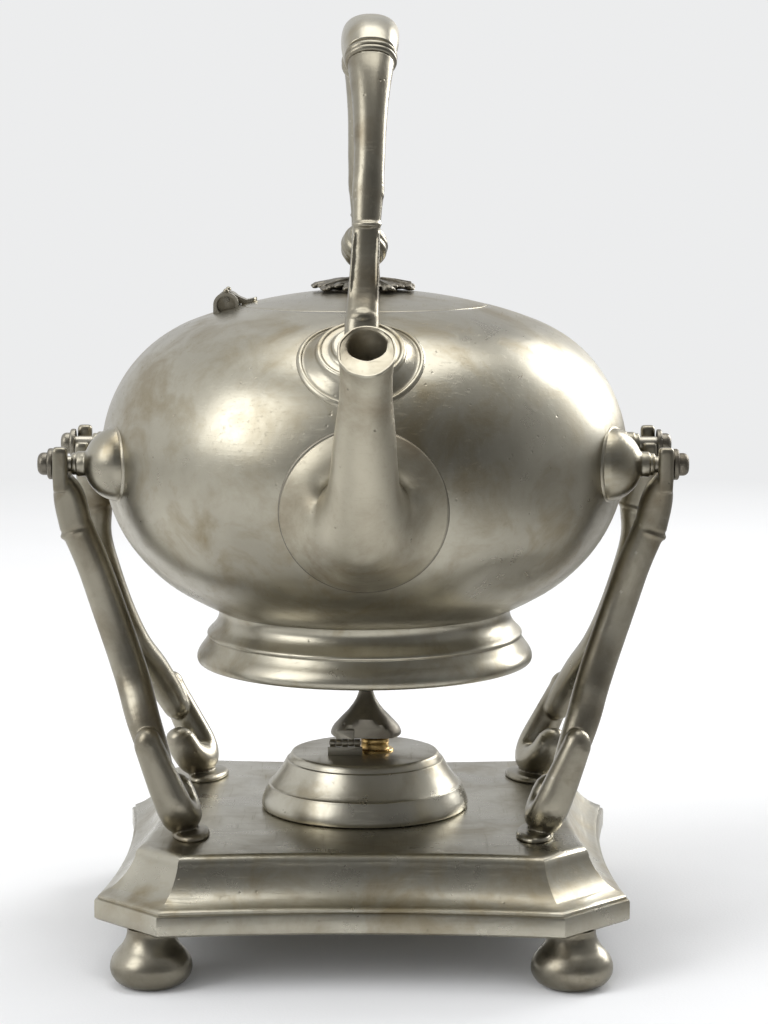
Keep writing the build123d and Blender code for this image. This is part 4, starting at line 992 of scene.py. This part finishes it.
        neck = [Station((0, -134.6, 230.6), 9.0, 9.3), ring(9.5, 11.3, 0, -2.2), ring(9.6, 11.4, 0, -1.5)]
        lip = [ring(*numbers) for numbers in (
            (10.2, 12.1, 0, -1.2), (10.3, 12.2, 0, -0.6), (10.0, 11.9, 0, -0.1), (9.5, 11.4, 0, -0.1),
            (9.2, 11.1, 0.1, -0.7), (7.6, 8.2, 2.8, -0.9), (7.0, 7.2, 3.7, -1.2), (6.7, 6.9, 3.7, -2.0),
            (6.4, 6.8, 3.0, -4.4))]
        back = [Station((0, -132.4, 226.0), 6.8, 6.6)]
        inside = [Station(s.at, s.wide - 2.2, s.deep - 2.2) for s in reversed(outside[:-3])]
        shape = Shape()
        planes = [Vector((0, -1, 0))] * len(disc) + facing + [Vector((0, -0.5, 0.86))] + [mouth] * 11
        planes += [facing[-1]] + list(reversed(facing[:-3]))
        shape.loft(disc + outside + neck + lip + back + inside, 72, 2.06, planes=planes, ends=(False, False))

        def settle(co: Vector) -> Vector:
            """Lay the disc on the body, keep the tube's root clear of it and wear the mouth."""
            if co.y > -70:
                return self.disc_point(math.atan2(co.z - self.disc_z, co.x), round(co.y + 60)) - co
            if co.z < 205 and OVAL.clearance(co) < 2.0:
                return Vector((0, -math.sqrt(OVAL.side_radius(co.z, 2.0) ** 2 - co.x**2) - co.y, 0))
            near = max(0.0, 1 - (co - middle).length / 15)
            worn = [noise.noise(co * 0.24 + Vector(shift)) for shift in ((0, 0, 0), (9, 0, 0), (0, 9, 0))]
            return Vector(worn) * 0.9 * near

        shape.shift(settle)
        foot, more = self.lean
        shape.shift(lambda co: Vector((foot + more * min(1.0, max(0.0, (co.z - 178) / 62)), 0, 0)))
        rim = [v for v in shape.bm.verts if v.is_boundary]
        bmesh.ops.bridge_loops(shape.bm, edges=list({e for v in rim for e in v.link_edges if e.is_boundary}))
        self.shop.finish(shape, "spout", Body.KETTLE, Slot.PEWTER, self.shop.finishes.spout, crease=40)
        # The dark ring round the disc is a painted shadow.
        self.disc_shadow_ring()

    def disc_shadow_ring(self) -> None:
        """Build the dark ring round the spout's disc, a painted shadow under the disc's edge."""
        disc_shadow_ring = Shape()
        disc_shadow_ring.lathe([(29.9, -0.8), (30.85, -0.8), (30.85, 0.1), (30.65, 0.4), (30.35, 0.5), (29.9, 0.4),
                    (29.9, -0.8)], 144)
        for vert in disc_shadow_ring.bm.verts:
            x, z, off = vert.co.x, vert.co.y + self.disc_z, vert.co.z
            vert.co = Vector((x + self.lean[0], -math.sqrt(OVAL.side_radius(z, off) ** 2 - x * x), z))
        self.shop.finish(disc_shadow_ring, "spout_disc_shadow", Body.KETTLE, Slot.PEWTER, self.shop.finishes.dark, (), 50)

    def trunnions(self) -> None:
        """Build the four domed bosses and dress the spindles, washers and nuts."""
        flange = [(12.0, -1.0), (14.5, -1.0), (14.5, 0.4), (14.2, 0.75), (13.4, 0.8), (12.6, 0.5), (12.0, -1.0)]
        dome = [(13.6, -2.0)] + arc((0, 0), 14.3, 4, 68, 16)
        dome += [(4.95, 13.6), (4.8, 14.2), (4.8, 16.4), (4.5, 16.9), (4.2, 17.1), (4.2, 18.5), (3.9, 18.8),
                 (0, 18.8)]
        for name, (sx, sy) in CORNERS.items():
            shape = Shape()
            foot = Vector((self.trunnion_x * sx, self.trunnion_y * sy, self.trunnion_z))
            place = Matrix.Translation(foot) @ Matrix.Rotation(math.radians(90 * sx), 4, "Y")
            ring = shape.lathe(flange, 72, place)
            for vert in ring:
                off = abs(vert.co.x) - self.trunnion_x
                vert.co.x = sx * math.sqrt(OVAL.side_radius(vert.co.z, off) ** 2 - vert.co.y**2)
            shape.lathe(dome, 72, place)
            self.shop.finish(shape, f"trunnion_boss_{name}", Body.KETTLE, Slot.PEWTER, self.shop.finishes.spun,
                             (f"boss_{name}",), 50)
            for part in ("washer", "cap_nut"):
                self.shop.soft_copy(f"{part}_{name}", Body.KETTLE, Slot.DARK, self.shop.finishes.dark)
            self.shop.dress((f"spindle_{name}",), self.shop.finishes.fixing)

    def hinge(self) -> None:
        """Dress the kettle's side of the lid hinge."""
        self.shop.dress(("lid_hinge_hood_front", "lid_hinge_hood_rear"), self.shop.finishes.cast)
        self.shop.dress(("lid_hinge_pin",), self.shop.finishes.dark)

    def build(self) -> None:
        """Build the whole kettle but for its handle."""
        self.shell()
        self.foot()
        self.spout()
        self.trunnions()
        self.hinge()


@dataclass
class Handle:
    """The overhead handle: mounts, two cast arms, ringed collars and the grip.

    Args:
        shop: where pieces are finished.
        lean: how far it leans to the right for each millimetre that it rises.
        twist: how far it is swung about its middle for each millimetre of its depth.
        bent: how many times more the rear half is swung.
        foot_z: height where the lean starts.
        mount_y: distance of the mounts from the middle.
    """

    shop: Workshop
    lean: float = 0.021
    twist: float = 0.025
    bent: float = 2.4
    foot_z: float = 233.92
    mount_y: float = 80.5

    def at(self, across: float, y: float, z: float) -> Spot:
        """Return a point of the front half of the handle."""
        return (across + self.lean * (z - self.foot_z), -y, z)

    def swing(self, co: Vector) -> Vector:
        """Return how the handle's slight twist moves a point."""
        share = self.twist * (self.bent if co.y > 0 else 1.0)
        return Vector((-share * co.y * min(1.0, max(0.0, (co.z - 245.0) / 60.0)), 0, 0))

    def arm(self) -> Shape:
        """Return the front arm's casting, made of lumps that are fused later."""
        shape = Shape()
        lower = [(79.5, 237.1, 6.3, 5.0), (75.5, 246.3, 6.1, 5.0), (70.9, 254.1, 5.7, 4.3),
                 (66.9, 264.1, 5.4, 3.8), (63.9, 272.1, 5.2, 3.7), (61.7, 279.6, 5.1, 3.9)]
        shape.loft(rounded([Station(self.at(0, y, z), w, d) for y, z, w, d in lower], 4), 32, 2.5)
        upper = [(61.9, 278.2, 5.0, 4.1), (59.2, 287.6, 5.5, 4.7), (57.6, 292.6, 5.9, 5.0),
                 (55.3, 299.6, 5.7, 5.2), (50.7, 310.6, 5.9, 5.5), (44.9, 321.6, 6.5, 5.9),
                 (37.7, 332.4, 7.7, 6.6), (31.9, 338.9, 8.8, 7.2)]
        shape.loft(rounded([Station(self.at(0, y, z), w, d) for y, z, w, d in upper], 5), 36, 2.2)
        for side in (-1, 1):
            rib = [(74.4, 252.0, 4.9, 0.35), (70.8, 262.0, 4.8, 0.55), (67.4, 271.0, 4.6, 0.5),
                   (65.0, 277.6, 4.4, 0.35)]
            shape.loft(rounded([Station(self.at(side * x, y, z), w, w * 1.6) for y, z, x, w in rib], 4), 12)
            shape.lump(self.at(side * 4.9, 59.0, 290.8), (1.0, 1.8, 2.2))
        shape.lump(self.at(0, 62.2, 280.4), (5.6, 4.8, 1.9))
        shape.lump(self.at(0, 75.4, 247.4), (6.1, 6.0, 3.9))
        return shape

    def arms(self) -> None:
        """Build the front and the rear arm."""
        for side in ("front", "rear"):
            shape = self.arm()
            if side == "rear":
                shape.mirror_y()
            shape.shift(self.swing)
            self.shop.finish(shape, f"handle_arm_{side}", Body.KETTLE, Slot.PEWTER, self.shop.finishes.cast,
                             fuse=0.45, ease=2)

    def collars(self) -> None:
        """Build the double rings between arms and grip."""
        course = [(31.9, 338.9, 8.9, 7.2), (31.5, 339.3, 9.5, 7.8), (30.9, 339.9, 9.8, 8.1),
                  (30.4, 340.35, 9.5, 7.8), (30.1, 340.65, 9.2, 7.5), (29.8, 340.9, 9.5, 7.8),
                  (29.2, 341.4, 9.9, 8.2), (28.5, 341.95, 9.6, 7.9), (27.9, 342.5, 9.1, 7.4)]
        for side in ("front", "rear"):
            shape = Shape()
            facing = [Vector((0, 0.74, 0.67))] * len(course)
            shape.loft([Station(self.at(0, y, z), w, d) for y, z, w, d in course], 56, 2.2, planes=facing)
            if side == "rear":
                shape.mirror_y()
            shape.shift(self.swing)
            self.shop.finish(shape, f"handle_collar_{side}", Body.KETTLE, Slot.PEWTER, self.shop.finishes.cast,
                             (), 60)

    def grip(self) -> None:
        """Build the arched grip."""
        front = [(27.9, 342.5, 9.3, 7.4), (20.4, 346.7, 10.4, 8.0), (10.9, 349.4, 10.8, 8.3),
                 (0.0, 350.4, 10.8, 8.4)]
        rear = [(-y, z, w, d) for y, z, w, d in reversed(front[:-1])]
        shape = Shape()
        shape.loft(rounded([Station(self.at(0, y, z), w, d) for y, z, w, d in front + rear], 6), 56, 2.3)
        shape.soften(0.5, 50)
        shape.shift(self.swing)
        self.shop.finish(shape, "handle_grip", Body.KETTLE, Slot.PEWTER, self.shop.finishes.spun, crease=60)

    def mounts(self) -> None:
        """Build the stepped discs, with their beaded rims, that carry the arms."""
        outline = [(23.5, -2.6), (23.5, -1.3), (23.1, -0.5), (22.3, -0.2), (21.6, -0.45), (21.1, -0.9),
                   (19.0, -0.4), (17.4, 0.5), (16.6, 1.4), (16.3, 2.3), (15.9, 2.9), (15.2, 3.1), (14.5, 2.9),
                   (14.0, 2.6), (12.6, 2.7), (11.4, 3.0), (10.7, 3.7), (10.4, 4.5), (10.0, 5.0), (9.3, 5.2),
                   (0, 5.2)]
        tilt = math.asin((self.mount_y - OVAL.radius + OVAL.upper[1]) / OVAL.upper[1])
        for side, sign in (("front", -1), ("rear", 1)):
            shape = Shape()
            place = Matrix.Translation((0, self.mount_y * sign, OVAL.top_z(self.mount_y)))
            place = place @ Matrix.Rotation(-tilt * sign, 4, "X")
            axis = (place.to_3x3() @ Vector((0, 0, 1))).normalized()
            run = [(s.at[0], s.at[2]) for s in rounded([Station((r, 0, z), 1, 1) for r, z in outline[:-1]], 3)]
            shape.lathe(run + outline[-1:], 96, place)
            for vert in shape.bm.verts:
                local = place.inverted() @ vert.co
                share = min(1.0, max(0.0, (math.hypot(local.x, local.y) - 13.0) / 7.0))
                laid = OVAL.drape(vert.co, axis, local.z + 0.9)
                vert.co = vert.co.lerp(laid, share * share)
            self.shop.finish(shape, f"handle_mount_{side}", Body.KETTLE, Slot.PEWTER, self.shop.finishes.spun,
                             crease=60)

    def build(self) -> None:
        """Build the whole handle."""
        self.mounts()
        self.arms()
        self.collars()
        self.grip()


# ------------------------------------------------------------------ lid
@dataclass
class Lid:
    """The flush lid with its leafy rosette and fluted finial.

    Args:
        shop: where pieces are finished.
        radius: radius of the disc.
        ball_z: height of the finial's ball.
        ball: radius of the ball.
        flutes: how many flutes run round the ball.
        leaves: how many leaves the rosette has.
    """

    shop: Workshop
    radius: float = 47.7
    ball_z: float = 270.0
    ball: float = 9.2
    flutes: int = 11
    leaves: int = 9

    def disc(self) -> None:
        """Build the domed disc with its rim and flange."""
        crown, drop, _ = OVAL.crown(OVAL.upper)
        angle = 90 - math.degrees(math.asin(self.radius / crown))
        top = arc((0, OVAL.wide_z - drop), crown, 90, angle, 24)
        under = arc((0, OVAL.wide_z - drop), crown - 1.6, angle + 2.2, 90, 20)
        rim = [(self.radius, 245.46), (self.radius - 2.0, 245.46), (43.2, 246.7), (43.2, 239.7), (41.6, 239.7),
               (41.6, 247.1)]
        shape = Shape()
        shape.lathe(top + rim + under[2:], 160)
        shape.soften(0.25, 50, 2)
        self.shop.finish(shape, "lid_disc", Body.LID, Slot.PEWTER, self.shop.finishes.spun,
                         ("lid_disc", "lid_flange"), 50)

    def rosette(self) -> None:
        """Build the rosette of ruffled leaves."""
        shape = Shape()
        lobes = ((11.0, 0, 6.0, 4.6, 1.5), (17.2, 0, 3.9, 2.6, 1.1), (15.4, 3.2, 3.2, 2.0, 1.0),
                 (15.4, -3.2, 3.2, 2.0, 1.0), (12.2, 4.4, 3.0, 1.7, 1.2), (18.8, 1.6, 1.7, 1.2, 0.9),
                 (18.8, -1.6, 1.7, 1.2, 0.9))
        for index in range(self.leaves):
            turn = Matrix.Rotation(math.tau * (index + 0.5) / self.leaves, 4, "Z")
            for reach, side, long, wide, high in lobes:
                at = turn @ Vector((reach, side, 0))
                radius = math.hypot(at.x, at.y)
                ruffle = 0.5 * math.sin(index * 2.4 + reach)
                at.z = OVAL.top_z(radius) + 2.1 + 0.06 * max(0.0, 20.0 - radius) + ruffle
                tip = Matrix.Rotation(math.asin(radius / OVAL.crown(OVAL.upper)[0]) + 0.12, 4, "Y")
                shape.lump(at, (long, wide, high), turn @ tip @ Matrix.Rotation(side * 0.16, 4, "Z"), 2)
            vein = [Station(tuple(turn @ Vector((r, 0, OVAL.top_z(r) + 3.2 + 0.06 * (20 - r)))), w, w)
                    for r, w in ((7, 0.8), (13, 0.7), (19.5, 0.4))]
            shape.loft(vein, 8)
        shape.lathe([(0, 251.0), (12.8, 251.0), (12.8, 253.8), (10.8, 255.6), (8.4, 256.8), (6.6, 257.6),
                     (5.0, 258.1), (0, 258.1)], 48)
        for vert in shape.bm.verts:
            radius = math.hypot(vert.co.x, vert.co.y)
            vert.co.z = max(vert.co.z, OVAL.top_z(min(radius, 40.0)) - 0.5)
            reach = min(1.0, 22.2 / max(radius, 1e-6))
            vert.co.x *= reach
            vert.co.y *= reach
        self.shop.finish(shape, "lid_rosette", Body.LID, Slot.PEWTER, self.shop.finishes.dark,
                         fuse=0.3, ease=1)

    def finial(self) -> None:
        """Build the spirally fluted ball on its turned stem."""
        shape = Shape()
        bmesh.ops.create_uvsphere(shape.bm, u_segments=132, v_segments=48, radius=self.ball,
                                  matrix=Matrix.Translation((0, 0, self.ball_z)))
        for vert in shape.bm.verts:
            from_middle = vert.co - Vector((0, 0, self.ball_z))
            flat = math.hypot(from_middle.x, from_middle.y) / self.ball
            angle = math.atan2(from_middle.y, from_middle.x) + 1.1 * from_middle.z / self.ball
            depth = 0.45 * (1 - abs(math.cos(angle * self.flutes / 2))) ** 0.8 * min(1.0, flat * 1.6)
            vert.co -= from_middle.normalized() * depth
        shape.lathe([(0, 248.0), (2.0, 248.0), (2.0, 258.0), (3.6, 258.05), (3.9, 258.7), (3.4, 259.2),
                     (4.4, 259.6), (4.7, 260.2), (4.3, 260.8), (3.2, 261.2), (3.0, 261.8), (3.6, 262.6),
                     (0, 264.0)], 48)
        self.shop.finish(shape, "lid_finial", Body.LID, Slot.PEWTER, self.shop.finishes.cast, crease=55)

    def build(self) -> None:
        """Build the whole lid."""
        self.disc()
        self.rosette()
        self.finial()
        self.leaf()
        self.shop.dress(("lid_finial_nut",), self.shop.finishes.fixing)

    def leaf(self) -> None:
        """Build the hinge's leaf, whose end is worn short."""

        def wear(co: Vector) -> Vector:
            """Draw the leaf's end back along the lid."""
            over = max(0.0, co.x + 44.5) * 0.6
            return Vector((-over, 0, OVAL.top_z(abs(co.x - over)) - OVAL.top_z(abs(co.x)) if over else 0.0))

        shape = Shape()
        shape.copy_node("lid_hinge_leaf")
        shape.shift(wear)
        shape.soften(0.25, 40)
        self.shop.finish(shape, "lid_hinge_leaf", Body.LID, Slot.PEWTER, self.shop.finishes.cast)


# ------------------------------------------------------------------ lamp and snuffer
@dataclass
class Lamp:
    """The stepped spirit lamp, its brass burner and the hinged snuffer.

    Args:
        shop: where pieces are finished.
        floor: underside of the lamp.
        height: height of the font.
        burner_at: where the burner stands.
        cap_at: where the snuffer's axis stands.
        cap_front: where the snuffer is cut flat in front.
        cap_wall: thickness of the snuffer in front.
        cap_rim: radius beyond which the snuffer's rim is solid.
    """

    shop: Workshop
    floor: float = 48.7
    height: float = 21.9
    burner_at: tuple[float, float] = (4.0, 1.0)
    cap_at: tuple[float, float] = (0.5, 1.0)
    cap_front: float = -8.2
    cap_wall: float = 0.9
    cap_rim: float = 13.5

    def font(self) -> None:
        """Build the lamp's body."""
        low = self.floor
        outer = [(39.8, 0.0), (40.6, 0.4), (40.9, 1.3), (40.8, 2.6), (40.3, 4.4), (39.4, 6.6), (38.5, 8.6),
                 (38.2, 9.3), (37.7, 9.5), (36.9, 10.3), (35.4, 12.2), (33.9, 14.3), (32.6, 16.3), (31.6, 18.0),
                 (31.1, 18.9)]
        run = [(s.at[0], s.at[2] + low) for s in rounded([Station((r, 0, z), 1, 1) for r, z in outer], 4)]
        top = [(30.8, 19.15), (30.3, 19.2), (29.8, 20.2), (29.2, 21.2), (28.7, 21.75), (28.1, self.height),
               (0, self.height)]
        under = [(0, 20.1), (24.8, 20.1), (26.0, 12.0), (35.0, 6.2), (36.9, 2.6), (36.9, 0.0)]
        shape = Shape()
        shape.lathe(run + [(r, z + low) for r, z in top], 144)
        shape.lathe([(r, z + low) for r, z in under + outer[:1]], 96)
        shape.shift(lambda co: Vector((0, 0, 0.12 * noise.noise(co * 0.09))) if co.z > low + 4 else Vector())
        self.shop.finish(shape, "lamp_font", Body.LAMP, Slot.PEWTER, self.shop.finishes.lamp, ("lamp_body",),
                         45)

    def burner(self) -> None:
        """Build the brass burner and the wick that stands in it."""
        top = self.floor + self.height
        place = Matrix.Translation((*self.burner_at, 0))
        tube = [(3.6, -6), (5.6, -6), (5.6, -0.02), (7.4, -0.02), (7.4, 0.6), (7.1, 0.9), (5.9, 1.0),
                (5.5, 1.5), (5.5, 3.4), (5.7, 3.8), (5.5, 4.3), (5.6, 5.0), (5.2, 5.5), (4.4, 5.6), (3.6, 5.3),
                (3.6, -6)]
        shape = Shape()
        shape.lathe([(r, top + z) for r, z in tube], 72, place)
        self.shop.finish(shape, "lamp_burner", Body.LAMP, Slot.BRASS, self.shop.finishes.brass, crease=40)
        wick = Shape()
        cotton = [(0, -15), (3.4, -15), (3.4, 6.2), (3.1, 6.9), (2.0, 7.1), (0, 6.8)]
        wick.lathe([(r, top + z) for r, z in cotton], 64, place)
        wick.shift(lambda co: Vector((0, 0, 0.25 * noise.noise(co * 0.9))) if co.z > top + 6 else Vector())
        self.shop.finish(wick, "lamp_wick", Body.LAMP, Slot.WICK, self.shop.finishes.wick, crease=40)

    def snuffer(self) -> None:
        """Build the hollow snuffer cap with its flat front, and its knob."""
        place = Matrix.Translation((*self.cap_at, 0))
        bell = [(0, 94.6), (2.8, 94.6), (3.2, 93.2), (4.0, 91.3), (5.1, 89.5), (6.9, 87.1), (9.2, 84.7),
                (11.2, 82.6), (12.7, 80.9), (13.4, 79.8), (13.8, 78.8), (14.0, 78.1), (13.9, 77.5),
                (13.6, 77.2)]
        inner = [(12.9, 77.2), (12.8, 78.4), (12.2, 79.7), (10.6, 81.8), (8.4, 84.0), (6.0, 86.6), (4.0, 89.2),
                 (2.4, 91.2), (0, 91.8)]
        cap = Shape()
        outside = cap.lathe(bell, 96, place)
        inside = set(cap.lathe(bell[-1:] + inner, 96, place)) - set(outside)
        for vert in cap.bm.verts:
            lip = math.hypot(vert.co.x - self.cap_at[0], vert.co.y - self.cap_at[1]) > self.cap_rim
            hollow = vert in inside and not lip
            vert.co.y = max(vert.co.y, self.cap_front + (self.cap_wall if hollow else 0.0))
        self.shop.finish(cap, "snuffer_cap", Body.SNUFFER, Slot.PEWTER, self.shop.finishes.dark, crease=30)
        knob = Shape()
        ball = arc((0, 98.7), 3.8, -52, 88, 16)[1:]
        knob.lathe([(0, 94.6), (1.9, 94.6), (1.9, 95.4)] + ball + [(0, 102.5)], 48, place)
        self.shop.finish(knob, "snuffer_knob", Body.SNUFFER, Slot.PEWTER, self.shop.finishes.dark, crease=50)

    def build(self) -> None:
        """Build the lamp and its snuffer."""
        self.font()
        self.burner()
        self.snuffer()
        for part, body in (("snuffer_bracket", Body.LAMP), ("snuffer_leaf", Body.SNUFFER)):
            self.shop.soft_copy(part, body, Slot.DARK, self.shop.finishes.dark)
        self.shop.dress(("lamp_base", "snuffer_pin"), self.shop.finishes.dark)


# ------------------------------------------------------------------ stage
@dataclass
class Studio:
    """Floor, light and camera.

    Args:
        eye: the camera's place, in millimetres.
        pitch: how far the camera looks down, in degrees.
        yaw: how far it is turned to the left, in degrees.
        lens: its lens, in millimetres, on a frame 24 millimetres high.
        paper: colour of the background.
    """

    eye: tuple[float, float, float] = (17.4, -1087.0, 311.3)
    pitch: float = 7.609
    yaw: float = 0.515
    lens: float = 65.49
    paper: Colour = (0.84, 0.845, 0.85)

    def camera(self) -> None:
        """Set up the camera."""
        data = bpy.data.cameras.new("camera")
        data.sensor_fit = "VERTICAL"
        data.sensor_height = 24.0
        data.sensor_width = 18.0
        data.lens = self.lens
        data.clip_start = 0.05
        camera = bpy.data.objects.new("camera", data)
        camera.location = Vector(self.eye) * MM
        camera.rotation_euler = (math.radians(90 - self.pitch), 0, math.radians(self.yaw))
        bpy.context.scene.collection.objects.link(camera)
        bpy.context.scene.camera = camera

    def floor(self) -> None:
        """Lay a pale floor that fades into the background, and that metal mirrors darker on the right."""
        bm = bmesh.new()
        bmesh.ops.create_circle(bm, cap_ends=True, segments=96, radius=9.0)
        mesh = bpy.data.meshes.new("floor")
        bm.to_mesh(mesh)
        bm.free()
        sheet = NodeSheet("pale_floor")
        here = sheet.place()
        weave = sheet.cloud(here, 900.0, 3.0)
        # Soft darker patches on the flat floor: painted shade of cloth folds.
        fold_shade = sheet.cloud(here, 7.0, 3.0)
        matt = sheet.add("BsdfDiffuse", Roughness=0.9)
        sheet.join(sheet.tint(sheet.span(fold_shade, 0.3, 0.7, 0.0, 0.4), (0.86, 0.865, 0.875), (0.8, 0.805, 0.815)),
                   matt.inputs["Color"])
        sheet.join(sheet.relief(weave, 0.0004, 0.25), matt.inputs["Normal"])
        glow = sheet.add("Emission", Strength=1.0)
        glow.inputs["Color"].default_value = (*self.paper, 1)
        far = sheet.add("VectorMath", operation="LENGTH")
        sheet.join(here, far.inputs[0])
        mix = sheet.add("MixShader")
        sheet.join(sheet.span(far.outputs["Value"], 0.35, 1.5), mix.inputs[0])
        sheet.join(matt.outputs[0], mix.inputs[1])
        sheet.join(glow.outputs[0], mix.inputs[2])
        rays, sides = sheet.add("LightPath"), sheet.add("SeparateXYZ")
        sheet.join(here, sides.inputs[0])
        right = sheet.span(sides.outputs["X"], 0.08, 0.5, 0.0, 0.75)
        shade = sheet.sums("MULTIPLY", right, rays.outputs["Is Glossy Ray"])
        darker = sheet.add("MixShader")
        sheet.join(shade, darker.inputs[0])
        sheet.join(mix.outputs[0], darker.inputs[1])
        sheet.join(sheet.add("BsdfDiffuse", Color=(0.06, 0.058, 0.055, 1)).outputs[0], darker.inputs[2])
        out = sheet.add("OutputMaterial")
        sheet.join(darker.outputs[0], out.inputs["Surface"])
        mesh.materials.append(sheet.material)
        floor = bpy.data.objects.new("floor", mesh)
        bpy.context.scene.collection.objects.link(floor)

    def sky(self) -> None:
        """Light everything softly, with a darker room in front for the metal to show."""
        world = bpy.data.worlds.new("studio")
        bpy.context.scene.world = world
        world.use_nodes = True
        tree = world.node_tree
        tree.nodes.clear()

        def add(kind: str) -> bpy.types.Node:
            """Add a node to the world's tree."""
            return tree.nodes.new("ShaderNode" + kind)

        place, split = add("TexCoord"), add("SeparateXYZ")
        tree.links.new(place.outputs["Generated"], split.inputs[0])
        front = add("MapRange")
        for socket, number in zip(("From Min", "From Max", "To Min", "To Max"), (-0.9, 0.1, 0.22, 0.9)):
            front.inputs[socket].default_value = number
        front.interpolation_type = "SMOOTHSTEP"
        tree.links.new(split.outputs["Y"], front.inputs["Value"])
        side, dim = add("MapRange"), add("Math")
        for socket, number in zip(("From Min", "From Max", "To Min", "To Max"), (-0.8, 0.8, 1.2, 0.5)):
            side.inputs[socket].default_value = number
        tree.links.new(split.outputs["X"], side.inputs["Value"])
        dim.operation = "MULTIPLY"
        tree.links.new(front.outputs["Result"], dim.inputs[0])
        tree.links.new(side.outputs["Result"], dim.inputs[1])
        rays = add("LightPath")
        room, paper, lit = add("Background"), add("Background"), add("Background")
        tree.links.new(dim.outputs[0], room.inputs["Strength"])
        room.inputs["Color"].default_value = (0.97, 0.98, 1.0, 1)
        paper.inputs["Color"].default_value = (*self.paper, 1)
        lit.inputs["Color"].default_value = (1.0, 1.0, 1.0, 1)
        lit.inputs["Strength"].default_value = 0.55
        either = add("Math")
        either.operation = "MAXIMUM"
        tree.links.new(rays.outputs["Is Glossy Ray"], either.inputs[0])
        tree.links.new(rays.outputs["Is Transmission Ray"], either.inputs[1])
        first, second, out = add("MixShader"), add("MixShader"), add("OutputWorld")
        tree.links.new(either.outputs[0], first.inputs[0])
        tree.links.new(lit.outputs[0], first.inputs[1])
        tree.links.new(room.outputs[0], first.inputs[2])
        tree.links.new(rays.outputs["Is Camera Ray"], second.inputs[0])
        tree.links.new(first.outputs[0], second.inputs[1])
        tree.links.new(paper.outputs[0], second.inputs[2])
        tree.links.new(second.outputs[0], out.inputs["Surface"])

    def lamps(self) -> None:
        """Hang the soft window lights."""
        for name, at, aim, size, watts in (
                ("left_window", (-1.5, -1.0, 1.3), (0, 0, 0.19), (1.1, 1.5), 18.0),
                ("right_window", (1.2, 1.12, 0.9), (0, 0, 0.19), (0.8, 1.1), 28.0),
                ("top_cloth", (0.1, 0.2, 1.9), (0, 0, 0.1), (1.4, 1.4), 18.0)):
            data = bpy.data.lights.new(name, "AREA")
            data.shape = "RECTANGLE"
            data.size, data.size_y = size
            data.energy = watts
            lamp = bpy.data.objects.new(name, data)
            lamp.location = at
            lamp.rotation_euler = (Vector(aim) - Vector(at)).to_track_quat("-Z", "Y").to_euler()
            bpy.context.scene.collection.objects.link(lamp)

    def build(self) -> None:
        """Set up the whole stage."""
        bpy.context.scene.view_settings.view_transform = "Standard"
        self.camera()
        self.floor()
        self.sky()
        self.lamps()


def main() -> None:
    """Build every piece in order, then set up the stage."""
    logging.basicConfig(level=logging.INFO, format="%(name)s: %(message)s")
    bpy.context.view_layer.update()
    shop = Workshop(Finishes())
    Stand(shop).build()
    Kettle(shop).build()
    Handle(shop).build()
    Lid(shop).build()
    Lamp(shop).build()
    Studio().build()


if __name__ == "__main__":
    main()
